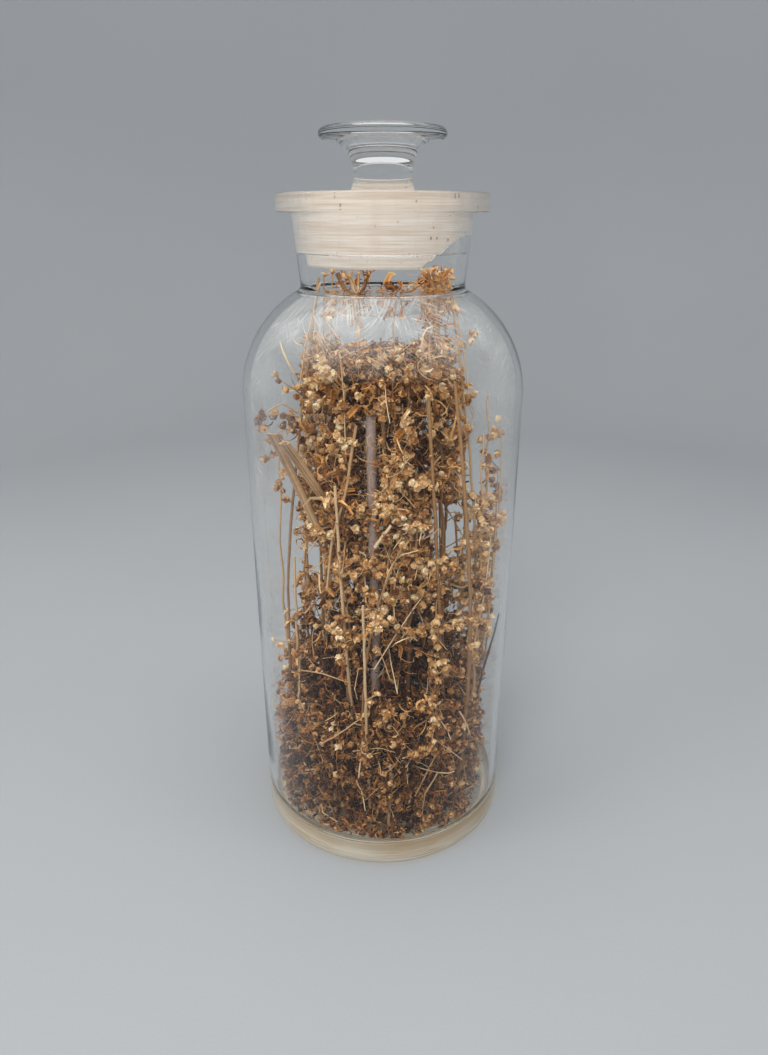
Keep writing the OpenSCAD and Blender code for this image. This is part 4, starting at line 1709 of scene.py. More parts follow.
CLUMP_ROWS = (
    (22, RING_IN, 20, 26, room(1.06), 0.42, 0.97, 13),
    (112, RING_IN, 112, 26, room(1.1), 0.42, 0.99, 12),
    (160, RING_IN, 160, 26, room(1.07), 0.42, 0.99, 12),
    (208, RING_IN, 206, 26, room(1.09), 0.42, 0.99, 12),
    (327, RING_IN, 330, 26, room(1.03), 0.42, 0.97, 12),
    (8, 16, 358, 33, room(1.1), 0.91, 0.97, 3),
    (89, 14, 92, 33, room(1.09), 0.86, 0.97, 4),
    (197, RING_IN, 182, 33.5, room(1.1), 0.87, 0.97, 4),
    (257, 16, 263, 30, room(1.09), 0.945, 0.975, 2),
)
NECK_ROWS = (
    (66, RING_IN, 66, 5.5, NECK_TIP, 0.5, 0.82, 9),
    (246, RING_IN, 244, 5.5, NECK_TIP, 0.5, 0.82, 9),
    (280, RING_IN, 284, 5.5, NECK_TIP, 0.5, 0.82, 9),
)


def foot_at(turn: float, inset: float, d: float) -> Vector:
    """Point on the axis of a stalk of thickness d that stands on the floor, its inset in millimetres."""
    return at(turn, SIZES.floor_r - inset * MM, SIZES.base_t + 0.6 * d + SEAT_GAP)


@dataclass(frozen=True)
class Habit:
    """How a kind of sprig branches: reach of its side twigs at foot and tip, extra twigs, and thickness."""

    low_reach: float
    high_reach: float
    extra: int
    thick: float
    tip: float
    head: float = HEAD_L
    droop: float = 0.02


def tip_at(turn: float, inset: float, z: float) -> Vector:
    """Tip of a stalk, its inset in millimetres from the wall, or from the throat in the neck."""
    in_neck = z > SIZES.body_h + SIZES.shoulder_in_r / 2
    return at(turn, (SIZES.throat_r if in_neck else SIZES.inner_r) - inset * MM, z)


class Sprig:
    """One flowering sprig on the route of its solid."""

    stalk_d = 2.4 * MM
    bow = 3 * MM
    zigzag = 0.6 * MM
    rise = 36.0

    def __init__(self, node: str, row: SprigRow, habit: Habit, seed: int) -> None:
        """Takes its node's name, its route, its habit and its seed."""
        self.node, self.row, self.habit, self.seed = node, row, habit, seed

    def route(self) -> list[Vector]:
        """Its stalk's line from foot to tip, through the roots of its twigs."""
        r = self.row
        foot = foot_at(r.foot_turn, r.foot_in, self.stalk_d)
        tip = tip_at(r.tip_turn, r.tip_in, r.tip_z)
        shares = [0.0] + [r.first + (r.last - r.first) * j / (r.twigs - 1) for j in range(r.twigs)] + [1.0]
        made = []
        for i, t in enumerate(shares):
            p = foot.lerp(tip, t) + at((r.foot_turn + r.tip_turn) / 2, self.bow * math.sin(math.pi * t), 0.0)
            made.append(p + at(r.foot_turn + i * GOLDEN, 0.0 if t in (0.0, 1.0) else self.zigzag, 0.0))
        return made

    def build(self, kit: HerbKit, allowed: Callable[[Vector], bool]) -> bpy.types.Object:
        """Grows the sprig and dresses it, in place of its solid."""
        g = Gardener(kit, self.seed, allowed)
        h, r = self.habit, self.row
        route = self.route()
        shift = g.rng.gauss(0.0, 0.05)
        line = g.stalk(route, h.thick, h.tip, g.rng.uniform(0.4, 0.8))
        for i in range(1, len(route) - 1):
            t = (i - 1) / max(1, r.twigs - 1)
            reach = h.low_reach + (h.high_reach - h.low_reach) * t
            way = at(r.foot_turn + 90 + i * GOLDEN, 1.0, math.tan(math.radians(self.rise)))
            g.raceme(route[i], way, reach * g.rng.uniform(0.75, 1.25), h.droop, head=h.head)
            for _ in range(h.extra):
                root = route[i].lerp(route[i + 1], g.rng.random())
                way = at(g.rng.uniform(0, 360), 1.0, g.rng.uniform(-0.2, 1.2))
                length, paler = reach * g.rng.uniform(0.4, 1.0), shift + g.rng.gauss(0.0, 0.08)
                g.raceme(root, way, length, h.droop, head=h.head, shift=paler)
        for p in line[len(line) // 4 :]:
            g.scrap(Part.LEAF, p, at(g.rng.uniform(0, 360), 1.0, 0.8), g.rng.uniform(2.5, 6) * MM)
        g.head(route[-1], Vector((0.0, 0.0, 1.0)), 2.6 * MM)
        return g.finish("dried_" + self.node, Slot.FLOWERS, self.node)


def ring_place(rng: random.Random, inner: float, outer: float, low: float, high: float) -> Vector:
    """A random place between two radii and two heights, all in millimetres."""
    r = math.sqrt(rng.uniform(inner * inner, outer * outer))
    return at(rng.uniform(0, 360), r * MM, rng.uniform(low, high) * MM)


@dataclass
class Planting:
    kit: HerbKit
    envelope: Envelope

    def build(self) -> list[bpy.types.Object]:
        """Builds the pieces one after another."""
        raise NotImplementedError


class Heap(Planting):
    """The dense heap in the lower third: short racemes, heads, leaves and twigs that lie every way."""

    hollows = (
        ((2, -42, 32), 5.5),
        ((-1, -44, 16), 5.0),
        ((-14, -41, 26), 4.6),
        ((-25, -38, 16), 4.2),
        ((10, -44, 20), 4.6),
        ((31, -35, 34), 4.0),
        ((-40, -22, 56), 3.6),
        ((22, 40, 30), 5.0),
        ((-36, 30, 44), 5.0),
        ((44, 12, 26), 4.5),
    )

    def allowed(self, p: Vector) -> bool:
        """Whether a place is in the heap, whose top is uneven."""
        top = 80 * MM + 6 * MM * math.sin(p.x * 95) + 6 * MM * math.cos(p.y * 120 + 1)
        if p.z > top or not self.envelope.holds(p):
            return False
        return all((p - mm(*c)).length > r * MM for c, r in self.hollows)

    def build(self) -> list[bpy.types.Object]:
        """Builds the heap in four layers, each a piece."""
        made = []
        for i, (low, high) in enumerate(((8, 27), (25, 46), (44, 66), (62, 90))):
            g = Gardener(self.kit, 900 + i, self.allowed)
            for _ in range(90):
                p = ring_place(g.rng, 12, 52, low, high)
                g.raceme(p, g.direction(0.9), g.rng.uniform(10, 24) * MM, 0.01, 0.05, 2.9 * MM, 0.55 * MM)
            for _ in range(420):
                g.head(
                    ring_place(g.rng, 30, 53.5, low, high), g.direction(), 2.8 * MM, g.rng.gauss(-0.02, 0.12)
                )
            g.tangle(2100, 750, lambda: ring_place(g.rng, 22, 54, low, high), 1.1, 0.85)
            g.twigs(120, lambda: ring_place(g.rng, 34, 53, low, high), (7, 26), 1.5)
            made.append(g.finish(f"heap_layer_{i + 1}"))
        return made


class Thicket(Planting):
    """The loose thicket in the middle and the upper clump above it."""

    pale_spots = (
        (1, -34, 165, 4.5, 34), (4, -34, 175, 4, 28), (6, -32, 183, 4, 22),
        (9, -31, 192, 4, 18), (0, -31, 203, 4, 14),
    )

    def clump_allows(self, p: Vector) -> bool:
        """Whether a place is in the upper clump."""
        return self.envelope.holds(p) and p.x < 34 * MM and p.z < 226 * MM

    def build(self) -> list[bpy.types.Object]:
        """Builds the middle, the clump in two halves, and the pale cluster at its front."""
        g = Gardener(self.kit, 1200, self.envelope.holds)
        for _ in range(58):
            p = ring_place(g.rng, 6, 37, 80, 140)
            g.raceme(p, g.direction(1.6), g.rng.uniform(12, 30) * MM, 0.03)
        for _ in range(90):
            g.head(ring_place(g.rng, 16, 38, 78, 142), g.direction(), 2.95 * MM)
        g.tangle(900, 520, lambda: ring_place(g.rng, 6, 38, 76, 142), 1.5, 1.15)
        g.twigs(110, lambda: ring_place(g.rng, 8, 38, 80, 142), (14, 46), 3.0)
        made = [g.finish("middle_thicket")]
        for i, (low, high) in enumerate(((132, 178), (172, 224))):
            g = Gardener(self.kit, 1300 + i, self.clump_allows)
            for _ in range(84):
                p = ring_place(g.rng, 5, 34, low, high)
                g.raceme(p, g.direction(1.2), g.rng.uniform(9, 22) * MM, 0.02, 0.06)
            for _ in range(330):
                g.head(ring_place(g.rng, 22, 36, low, high), g.direction(), 2.95 * MM)
            g.tangle(1900, 700, lambda: ring_place(g.rng, 8, 36, low, high), 1.2, 1.15)
            g.twigs(110, lambda: ring_place(g.rng, 14, 35, low, high), (12, 40), 2.2)
            made.append(g.finish(f"upper_clump_{i + 1}"))
        return [*made, self._pale_cluster()]

    def _pale_cluster(self) -> bpy.types.Object:
        """The cream heads that hang down the front of the clump, over the broad stalk."""
        g = Gardener(self.kit, 1400)
        for x, y, z, spread, count in self.pale_spots:
            middle = mm(x, y, z)
            for _ in range(count):
                p = middle + g.direction() * spread * MM * g.rng.random() ** 0.5
                g.head(p, (g.direction() + Vector((0.0, -0.8, 0.2))).normalized(), 2.6 * MM, 0.12)
            g.tangle(18, 22, lambda: middle + g.direction() * spread * MM, 1.0, 0.8)
        return g.finish("pale_front_cluster")


# Azimuth and inset of a long stalk's foot, azimuth, inset and height of its tip, its bow, and its share of 1.6 mm
LONG_ROWS = (
    (53, 3, 35, 9.5, room(1.06), 8, 1.0),
    (53, 7, 25, 15, room(1.03), 0.5, 1.0),
    (283, 5, 302, 11.5, room(0.67), 0.5, 0.8),
    (288, 3, 293, 3, NECK_TIP, 9, 0.75),
    (70, 5, 75, 2.5, NECK_TIP, 9, 0.75),
    (341, 14, 332, 15.5, room(0.85), 1.5, 0.95),
    (353, 3, 351, 5.5, room(0.62), 2, 0.8),
    (182, 14, 158, 10.5, room(1.02), 1, 1.0),
    (233, 5, 224, 4, room(1.05), 7, 1.0),
)


class BareStalks(Planting):
    """The bare stalks that stand out of the thicket, each on the route of its solid or beside it."""

    cut_rows = ((309, 0.955, 132, -67, 1.0), (317, 0.945, 146, -54, 0.62))
    cut_d = 3.6 * MM
    slant = math.tan(math.radians(35))
    neck_heads = (
        (15, -9, 247), (24, 0, 248), (26, 4, 243), (21, 8, 246),
        (24, -4, 238), (-8, -10, 236), (19, 2, 241),
    )

    def build(self) -> list[bpy.types.Object]:
        """Builds the pieces one after another."""
        return [
            *self._cut_stalks(),
            *self._long_stalks(),
            self._broad(),
            self._grass(),
            self._dark_twig(),
            self._loose_sticks(),
        ]

    def _cut_stalks(self) -> list[bpy.types.Object]:
        """The two thick tan stalks with slanted ends, leaning on the left wall."""
        made = []
        for i, (turn, share, down_turn, down_rise, part) in enumerate(self.cut_rows):
            d, length = self.cut_d, 54 * MM * part
            fall = math.radians(down_rise)
            reach = d / 2 * abs(math.sin(fall)) + 0.6 * d / 2 * self.slant * math.cos(fall)
            tip = at(turn, SIZES.inner_r - SEAT_GAP - reach, room(share))
            foot = tip + at(down_turn, math.cos(fall), math.sin(fall)) * length
            mesh = self._cut_mesh(f"cut_stalk_{i}", foot, tip, random.Random(60 + i))
            mesh.materials.append(self.kit.inputs["Stalk Finish"])
            made.append(settle(f"tan_cut_stalk_{i + 1}", mesh, Slot.STALKS, [f"cut_stalk_{i + 1}"]))
        return made

    def _cut_mesh(self, name: str, foot: Vector, tip: Vector, rng: random.Random) -> bpy.types.Mesh:
        """A ribbed stalk with slanted ends and a hollow pith at each.

        Args:
            name: Name of the mesh.
            foot: Middle of its lower end.
            tip: Middle of its upper end.
            rng: Source of its unevenness.

        Returns:
            The closed mesh, with tint and shade, partly painted, at each point.
        """
        sides, steps = 28, 26
        axis = (tip - foot).normalized()
        u = axis.orthogonal().normalized()
        v = axis.cross(u)
        length = (tip - foot).length
        rib = [rng.uniform(-0.05, 0.05) for _ in range(sides)]
        verts, faces, shade, tint = [], [], [], []
        rings = [(0.0, 0.42), (0.0, 0.7)] + [
            (i / steps, 1.0) for i in range(steps + 1)
        ] + [(1.0, 0.7), (1.0, 0.42)]
        for k, (t, fill) in enumerate(rings):
            pith = 1.3 * MM * (1 if k == 0 else -1 if k == len(rings) - 1 else 0)
            lean = min(1.0, (1 - t) * length / (4 * MM)) - min(1.0, t * length / (4 * MM))
            for j in range(sides):
                a = 2 * math.pi * j / sides
                r = self.cut_d / 2 * 0.93 * fill * (
                    1 + rib[j] * (fill == 1.0) + 0.015 * math.sin(31 * t + 3 * a)
                )
                rise = t * length + math.cos(a) * r * self.slant * lean + pith
                verts.append(foot + axis * rise + u * r * math.cos(a) + v * r * math.sin(a))
                # Painted shade and light: the hollow pith is painted dark, and each rib is lighter in shade and
                # tint the further it stands out. The pale rim of each cut end is the stalk's own colour.
                shade.append(0.16 if fill < 0.5 else 1.0 if fill < 1.0 else 0.5 + 5 * rib[j])
                tint.append(0.62 + 0.1 * math.sin(5 * t) + 2.5 * rib[j])
        for k in range(len(rings) - 1):
            for j in range(sides):
                m = (j + 1) % sides
                faces.append([k * sides + j, k * sides + m, (k + 1) * sides + m, (k + 1) * sides + j])
        faces += [[*range(sides)][::-1], [(len(rings) - 1) * sides + j for j in range(sides)]]
        mesh = plain_mesh(name, verts, faces, shade)
        hold(mesh, "tint", tint)
        point_outwards(mesh)
        mesh.shade_smooth()
        mesh.set_sharp_from_angle(angle=math.radians(50))
        return mesh

    def _broad(self) -> bpy.types.Object:
        """The broad grey-brown stalk in the middle of the clump, downy and half hidden by heads."""
        g = Gardener(self.kit, 501)
        foot = foot_at(-5.5, RING_IN, 4.6 * MM)
        top = foot + mm(-2, 0, 188)
        line = [foot, foot.lerp(top, 0.3), foot + mm(-0.7, 0, 98), foot.lerp(top, 0.8), top]
        g.stalk(line, 4.4 * MM, 4.1 * MM, 0.74, wander=0.3 * MM)
        for z in range(6, 156, 5):
            for _ in range(3):
                root = foot + mm(-0.012 * z, 0, z)
                way = at(g.rng.uniform(-120, 120), 1.0, g.rng.uniform(-0.3, 1.1))
                g.raceme(root + way.normalized() * 2 * MM, way, g.rng.uniform(5, 13) * MM, 0.02, 0.08)
        for _ in range(460):
            root = foot.lerp(top, g.rng.uniform(0.6, 1.0)) + at(g.rng.uniform(0, 360), 2.0 * MM, 0.0)
            g.scrap(Part.THREAD, root, g.direction(), 3.4 * MM, 0.3)
        return g.finish("broad_grey_stalk", Slot.DARK_STALKS, "broad_stalk")

    def _grass(self) -> bpy.types.Object:
        """The thin stem by the front wall, which hangs over at its tip."""
        g = Gardener(self.kit, 502)
        foot = foot_at(-14, 7, 1.4 * MM)
        line = []
        for i in range(13):
            t = i / 12
            line.append(foot + mm(17 * t**4, -6 * math.sin(math.radians(110 * t)), 143 * t))
        g.stalk(line, 1.3 * MM, 0.7 * MM, 0.46, wander=0.35 * MM)
        g.stalk(
            [line[-3], line[-2] + mm(2, 1, 5), line[-1] + mm(6, 2, -3)], 0.6 * MM, 0.4 * MM, 0.9, Part.TWIG
        )
        return g.finish("curved_grass_stem", Slot.STALKS, "grass_stem")

    def _dark_twig(self) -> bpy.types.Object:
        """The thin black-brown twig that leans on the right wall."""
        g = Gardener(self.kit, 503)
        foot = foot_at(76, 9, 1.6 * MM)
        top = at(76, SIZES.inner_r - SEAT_GAP - 0.96 * MM, SIZES.base_t + 97 * MM)
        g.stalk(
            [foot, foot.lerp(top, 0.35), foot.lerp(top, 0.7), top], 1.3 * MM, 0.8 * MM, 0.12, wander=0.5 * MM
        )
        return g.finish("black_brown_twig", Slot.DARK_STALKS, "dark_twig")

    def _long_stalks(self) -> list[bpy.types.Object]:
        """The nine long bare stalks, each on the route of its solid."""
        made = []
        for i, (foot_turn, foot_in, tip_turn, tip_in, tip_z, bow, share) in enumerate(LONG_ROWS, 1):
            g = Gardener(self.kit, 520 + i)
            d = 1.6 * MM * share
            foot, tip = foot_at(foot_turn, foot_in, d), tip_at(tip_turn, tip_in, tip_z)
            line = []
            for k in range(7):
                t = k / 6
                out = at((foot_turn + tip_turn) / 2, bow * MM * math.sin(math.pi * t), 0.0)
                line.append(foot.lerp(tip, t) + out)
            path = g.stalk(line, d * 1.15, d * 0.8, g.rng.uniform(0.42, 0.74), wander=0.45 * MM)
            for p in path[3:-2:3]:
                g.scrap(Part.LEAF, p, at(g.rng.uniform(0, 360), 1.0, 1.2), g.rng.uniform(2, 5.5) * MM)
                if g.rng.random() < 0.45:
                    g.raceme(
                        p, at(
                            g.rng.uniform(0, 360), 1.0, 1.3
                        ), g.rng.uniform(4, 12) * MM, 0.02, 0.35, 2.7 * MM
                    )
            made.append(g.finish(f"long_bare_stalk_{i}", Slot.STALKS, f"long_stalk_{i}"))
        return made

    def _loose_sticks(self) -> bpy.types.Object:
        """Short sticks and splinters caught at the front, and the thin stems that reach for the neck."""
        g = Gardener(self.kit, 504)
        sticks = (
            (((-3.1, -35, 147), (2, -35.4, 155), (7.6, -35, 163)), 1.5, 0.9, 0.97),
            (((-10, -32, 196), (-15, -33, 168), (-20, -32, 150), (-23, -30, 126)), 1.2, 1.0, 0.72),
            (((13, -26, 176), (14, -28, 152), (11, -28, 120), (8, -26, 92)), 1.2, 0.9, 0.66),
            (((-20, -26, 150), (-16, -29, 122), (-12, -30, 92)), 1.2, 0.9, 0.7),
            (((3, -31, 146), (0, -34, 124), (-7, -33, 98)), 1.0, 0.8, 0.6),
            (((31, -10, 150), (34, -4, 124), (37, 2, 90)), 1.1, 0.8, 0.6),
            (((-38, -20, 80), (-26, -31, 85), (-15, -36, 84)), 0.8, 0.5, 0.7),
            (((26, -34, 74), (18, -39, 66), (12, -42, 65)), 0.8, 0.5, 0.6),
            (((-22, -42, 44), (-36, -33, 34)), 1.0, 0.6, 0.9),
            (((-4, -47, 18), (4, -46, 42)), 1.5, 1.2, 0.62),
            (((14, -45, 30), (27, -38, 56)), 0.8, 0.6, 0.72),
            (((30, -14, 203), (33, -12, 190)), 1.0, 0.7, 0.85),
            (((-17, -9, 249.5), (-12.6, -11.5, 240), (-7.5, -13.5, 229)), 1.9, 1.5, 0.42),
            (((-5, -8, 250), (-8.4, -11, 240.5), (-12, -14, 230)), 1.7, 1.5, 0.36),
            (((-13, -7, 250), (-10.5, -10, 241), (-9, -12, 226)), 1.1, 1.2, 0.8),
            (((-9, -6, 250), (-9.5, -10, 241), (-10, -12, 226)), 1.0, 1.1, 0.68),
            (((17, -10, 249.5), (20, -12, 240), (21, -13, 222)), 1.3, 1.0, 0.5),
        )
        for line, d0, d1, tint in sticks:
            g.stalk([mm(*p) for p in line], d0 * MM, d1 * MM, tint, wander=0.25 * MM)
        thin = (
            (((-23, -12, 246), (-29, -14, 226), (-33, -15, 206)), 0.8),
            (((24, -8, 250), (30, -12, 228), (34, -15, 204)), 0.75),
            (((19, -9, 249), (20, -12, 236), (24, -14, 216)), 0.5),
            (((6, -12, 244), (4, -12, 230), (6, -14, 214)), 0.6),
            (((-27, -14, 236), (-22, -16, 218), (-16, -18, 198)), 0.7),
            (((-34, -14, 196), (-40, -14, 200), (-46, -15, 197)), 0.7),
            (((25, 4, 252), (27, 0, 240), (24, -4, 222)), 0.65),
            (((21, 10, 251), (18, 6, 236), (20, 2, 220)), 0.5),
        )
        for line, tint in thin:
            g.stalk([mm(*p) for p in line], 0.85 * MM, 0.55 * MM, tint, Part.TWIG, 0.3 * MM)
        for k in range(7):
            p, way = mm(-22 + 0.7 * k, -32.5, 163), Vector((-0.5 + 0.17 * k, -0.1, 1.0))
            g.scrap(Part.LEAF, p, way, 9 * MM, 0.2)
        for _ in range(60):
            p = mm(g.rng.uniform(-16, -5), g.rng.uniform(-11, -4), g.rng.uniform(235, 250))
            g.scrap(Part.LEAF, p, g.direction(1.6), g.rng.uniform(2.5, 5) * MM, 0.06)
            g.scrap(Part.THREAD, p, g.direction(2.4), g.rng.uniform(5, 10) * MM, 0.14)
        for _ in range(120):
            p = mm(g.rng.uniform(15, 26), g.rng.uniform(-13, 12), g.rng.uniform(228, 250))
            g.scrap(Part.LEAF, p, g.direction(1.6), g.rng.uniform(3, 7) * MM, 0.02)
            g.scrap(Part.THREAD, p, g.direction(2.0), g.rng.uniform(6, 12) * MM, 0.1)
        for _ in range(26):
            p = mm(g.rng.uniform(-3, 10), g.rng.uniform(-14, -5), g.rng.uniform(232, 247))
            g.scrap(Part.LEAF, p, g.direction(1.0), g.rng.uniform(3, 7) * MM, 0.04)
        for place, aim, size in (
            ((3, -10, 243), (0.4, -0.4, 1.0), 8),
            ((5, -11, 240), (-0.5, -0.3, 1.0), 7),
            ((7, -9, 238), (0.8, -0.2, 0.8), 7),
            ((1, -12, 238), (-0.8, -0.2, 0.6), 6),
            ((22, 6, 240), (0.2, -0.5, 1.0), 8),
            ((25, 2, 244), (-0.3, -0.6, 1.0), 7),
        ):
            for _ in range(3):
                g.scrap(Part.LEAF, mm(*place) + g.direction() * 1.5 * MM, Vector(aim), size * MM, 0.02)
        for place in self.neck_heads:
            g.head(mm(*place), g.direction(), 2.7 * MM, -0.05)
        return g.finish("loose_sticks", Slot.STALKS)


class WallStrings(Planting):
    """Strings of heads along the right wall, and the few strays on the left."""

    def build(self) -> list[bpy.types.Object]:
        """Builds the right strings, then the left strays."""
        g = Gardener(self.kit, 601)
        right = (
            (((47, -14, 120), (48.5, -13, 150), (49, -12, 172), (47.5, -13, 193)), 1.0),
            (((44, -20, 90), (46, -20, 118), (47, -18, 142), (46, -16, 158)), 1.0),
            (((49, 0, 70), (51, 0, 100), (51, 0, 135), (50, -2, 168)), 0.9),
            (((36, -32, 84), (40, -29, 108), (43, -26, 132), (44, -24, 150)), 1.0),
            (((46, 14, 60), (48, 14, 100), (48, 12, 140)), 0.9),
        )
        for line, d in right:
            path = g.stalk([mm(*p) for p in line], d * MM, 0.5 * MM, g.rng.uniform(0.6, 0.9), Part.TWIG)
            for p in path:
                out = Vector((g.rng.uniform(-1, 0.4), g.rng.uniform(-0.8, 0.8), g.rng.uniform(-0.2, 0.7)))
                if g.rng.random() < 0.4:
                    g.raceme(p, out, g.rng.uniform(4, 11) * MM, 0.03, 0.1)
                elif g.rng.random() < 0.75:
                    g.head(p, out.normalized(), 3.0 * MM)
                else:
                    g.scrap(Part.LEAF, p, out, 4 * MM)
        made = [g.finish("right_wall_strings")]
        g = Gardener(self.kit, 602)
        for root, aim, length in (
            ((-33, -20, 196), (-1, -0.2, 0.35), 14),
            ((-34, -18, 192), (-1, -0.1, -0.1), 12),
            ((-32, -16, 204), (-0.8, -0.2, 0.7), 12),
            ((-34, -20, 182), (-1, 0.1, -0.25), 11),
            ((-34, -20, 172), (-0.9, 0.2, 0.1), 9),
            ((-36, -16, 92), (-1, -0.1, 0.4), 11),
            ((-38, -14, 82), (-1, 0.1, 0.15), 9),
        ):
            g.raceme(mm(*root), Vector(aim), length * MM, 0.0, 0.2)
        return [*made, g.finish("left_wall_strays")]


class FloorLitter(Planting):
    """The fallen heads on the floor, with crumbs between them."""

    count = 34
    spread = 22.04 * MM

    def build(self) -> list[bpy.types.Object]:
        """Builds the litter, in place of the loose heads."""
        g = Gardener(self.kit, 701)
        for i in range(self.count):
            p = at(i * GOLDEN, self.spread * math.sqrt((i + 0.5) / self.count), SIZES.base_t + 1.9 * MM)
            g.growth.sprouts.append(Sprout(Part.HEAD, p, g.direction(0.3), 3.3 * MM, g.tone(p)))
        for _ in range(320):
            g.head(ring_place(g.rng, 14, 50, 8.6, 13), g.direction(0.6), 2.7 * MM, g.rng.gauss(0.0, 0.12))
        g.tangle(1100, 330, lambda: ring_place(g.rng, 14, 51, 8.4, 14), 0.4, 0.9)
        return [g.finish("fallen_heads", Slot.FLOWERS, "loose_heads")]


# Studio


class Studio:
    """Camera, backdrop, world and lamps."""

    eye = Vector((0.5 * MM, -311 * MM, 269.3 * MM))
    pitch = 67.55
    lens = 25.66
    bowl_r = 1.15
    sweep_r = 0.45
    bowl_h = 1.5
    sky_light = 0.25
    sky_seen = 0.85
    warm = (1.0, 0.98, 0.95)
    mirrored = "top_panel"

    def camera(self) -> None:
        """Puts the camera where the photograph was taken from."""
        data = bpy.data.cameras.new("camera")
        data.lens = self.lens
        data.clip_start = 0.01
        made = link(bpy.data.objects.new("camera", data))
        made.location = self.eye
        made.rotation_euler = (math.radians(self.pitch), 0.0, 0.0)
        bpy.context.scene.camera = made

    def backdrop(self, paper: bpy.types.Material) -> None:
        """A floor that sweeps up into a wall all round."""
        sweep = arc((self.bowl_r - self.sweep_r, self.sweep_r), self.sweep_r, -90, 0, 24)
        line = [(0.0, 0.0), (self.bowl_r - self.sweep_r, 0.0), *sweep[1:], (self.bowl_r, self.bowl_h)]
        mesh = revolve("backdrop_mesh", line, 128)
        mesh.flip_normals()
        mesh.materials.append(paper)
        mesh.shade_smooth()
        made = link(bpy.data.objects.new("backdrop", mesh))

    def lamp(self, name: str, place: Colour, size: tuple[float, float], power: float, colour: Colour) -> None:
        """Adds a soft panel that faces the bottle.

        Args:
            name: Name of the lamp.
            place: Where it hangs.
            size: Its width and height.
            power: Its power in watts.
            colour: Its colour.
        """
        data = bpy.data.lights.new(name, "AREA")
        data.shape = "ELLIPSE"
        data.size, data.size_y = size
        data.energy = power
        data.color = colour
        made = link(bpy.data.objects.new(name, data))
        made.location = place
        made.rotation_euler = (Vector((0.0, 0.0, 0.14)) - Vector(place)).to_track_quat("-Z", "Y").to_euler()
        made.visible_camera = False
        made.visible_glossy = name == self.mirrored
        made.visible_transmission = False

    def light(self) -> None:
        """Hangs the panels and sets the sky above the bowl."""
        self.lamp("top_panel", (-0.05, -0.1, 1.3), (1.1, 0.9), 8.0, self.warm)
        self.lamp("front_panel", (-0.25, -0.85, 0.95), (0.6, 0.45), 7.5, self.warm)
        self.lamp("left_panel", (-0.9, -0.35, 0.75), (0.5, 0.7), 2.2, self.warm)
        self.lamp("right_panel", (0.9, -0.3, 0.7), (0.5, 0.7), 1.4, (0.98, 0.99, 1.0))
        world = bpy.data.worlds.new("sky")
        world.use_nodes = True
        world.node_tree.nodes.clear()
        n = Nodes(world.node_tree)
        path = n.add("ShaderNodeLightPath").outputs
        seen = n.math("MAXIMUM", path["Is Glossy Ray"], path["Is Transmission Ray"])
        seen = n.math("MAXIMUM", path["Is Camera Ray"], seen)
        strength = n.spread(seen, 0.0, 1.0, self.sky_light, self.sky_seen)
        sky = n.out("ShaderNodeBackground", {"Color": (0.97, 0.98, 1.0), "Strength": strength})
        n.add("ShaderNodeOutputWorld", {"Surface": sky})
        bpy.context.scene.world = world

    def build(self) -> None:
        """Sets up the whole studio."""
        self.camera()
        self.backdrop(PalePaper().make())
        self.light()
        bpy.context.scene.view_settings.view_transform = "Standard"


FLOWER_STOPS = (
    (0.0, (0.022, 0.007, 0.003)),
    (0.2, (0.11, 0.034, 0.010)),
    (0.38, (0.29, 0.115, 0.034)),
    (0.56, (0.56, 0.29, 0.105)),
    (0.76, (0.82, 0.53, 0.25)),
    (1.0, (0.98, 0.82, 0.56)),
)
LEAF_STOPS = (
    (0.0, (0.018, 0.006, 0.003)),
    (0.22, (0.085, 0.026, 0.009)),
    (0.42, (0.30, 0.11, 0.028)),
    (0.62, (0.62, 0.28, 0.075)),
    (0.82, (0.84, 0.52, 0.22)),
    (1.0, (0.96, 0.76, 0.47)),
)
STALK_STOPS = (
    (0.0, (0.025, 0.011, 0.006)),
    (0.3, (0.16, 0.07, 0.03)),
    (0.6, (0.50, 0.28, 0.125)),
    (1.0, (0.92, 0.72, 0.46)),
)
DARK_STOPS = (
    (0.0, (0.012, 0.007, 0.006)),
    (0.35, (0.09, 0.055, 0.045)),
    (0.7, (0.36, 0.26, 0.235)),
    (1.0, (0.60, 0.50, 0.47)),
)


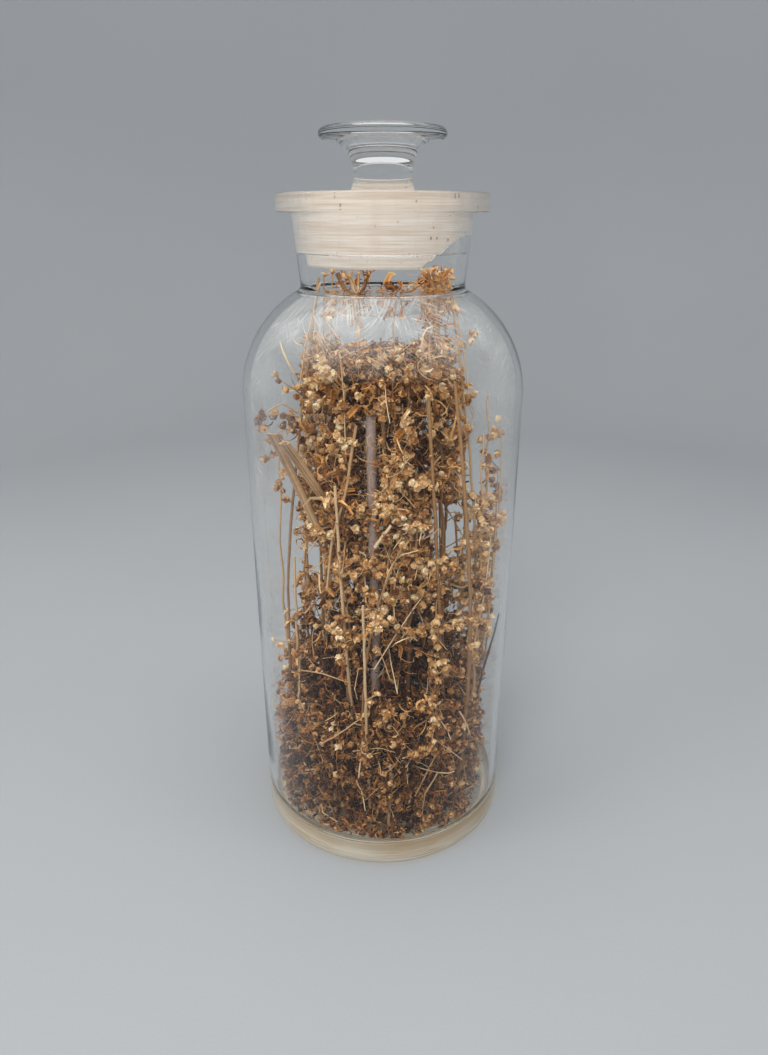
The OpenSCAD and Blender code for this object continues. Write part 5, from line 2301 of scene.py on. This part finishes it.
def herb_kit(shared: SharedPatterns, cavity: Cavity) -> HerbKit:
    """Makes the shapes and finishes that the herbs share.

    Args:
        shared: The shader groups.
        cavity: The room that the herbs stay in.
    """
    inputs = {
        "Heads": HeadShapes().collection(),
        "Leaves": StripShapes("curled_leaves", 7, 3, (0.09, 0.17), (1.2, 4.2), 2.4, 60).collection(),
        "Threads": StripShapes("fine_threads", 6, 5, (0.016, 0.03), (0.4, 3.2), 2.4, 80).collection(),
        "Head Finish": DriedPlant("dried_flower_heads", shared.fibre_and_painted_shade, FLOWER_STOPS).make(),
        "Leaf Finish": DriedPlant("dried_leaves", shared.fibre_and_painted_shade, LEAF_STOPS).make(),
        "Stalk Finish": DriedPlant("straw_stalks", shared.fibre_and_painted_shade, STALK_STOPS, mottle=0.25, rough=0.62).make(),
    }
    dark = DriedPlant("dark_stalk_bark", shared.fibre_and_painted_shade, DARK_STOPS, mottle=0.35, rough=0.66).make()
    return HerbKit(cavity, HerbTree(), inputs, dark)


def main() -> None:
    """Builds the bottle, the stopper, the herbs and the studio, and reports each piece."""
    logging.basicConfig(level=logging.INFO, format="%(name)s: %(message)s")
    shared = SharedPatterns()
    kit, envelope = herb_kit(shared, Cavity(SIZES)), Envelope()
    finishes = {
        Face.CLEAR: ClearGlass("clear_glass", shared.wear).make(),
        Face.GROUND: GroundGlass("ground_neck", shared.grinding).make(),
        Face.BASE: BaseGlass().make(),
    }
    clear = ClearGlass("clear_stopper", shared.wear, warm_below=0.0, warm_above=400 * MM, gloss=1.0).make()
    ground = GroundGlass("ground_plug", shared.grinding).make()
    film = DustAndSheenFilm("inside_bloom_and_sheen", shared.wear, shared.brushed).make()
    made = [
        BottleGlass(SIZES, finishes).build(),
        StopperGlass(SIZES, clear, ground).build(),
        InsideFilm(SIZES, film).build(),
    ]
    for label, rows, habit, seed in (
        ("wall", WALL_ROWS, Habit(13 * MM, 7 * MM, 2, 1.5 * MM, 0.7 * MM), 100),
        ("clump", CLUMP_ROWS, Habit(17 * MM, 10 * MM, 2, 1.9 * MM, 0.9 * MM), 200),
        ("neck", NECK_ROWS, Habit(12 * MM, 7 * MM, 1, 1.3 * MM, 0.6 * MM, 2.7 * MM), 300),
    ):
        for i, row in enumerate(rows, 1):
            sprig = Sprig(f"{label}_sprig_{i}", SprigRow(*row), habit, seed + i)
            made.append(sprig.build(kit, envelope.holds))
    for kind in (BareStalks, WallStrings, FloorLitter, Heap, Thicket):
        made += kind(kit, envelope).build()
    Studio().build()
    LOG.info("all pieces together: %d faces", sum(len(ob.data.polygons) for ob in made))


if __name__ == "__main__":
    main()
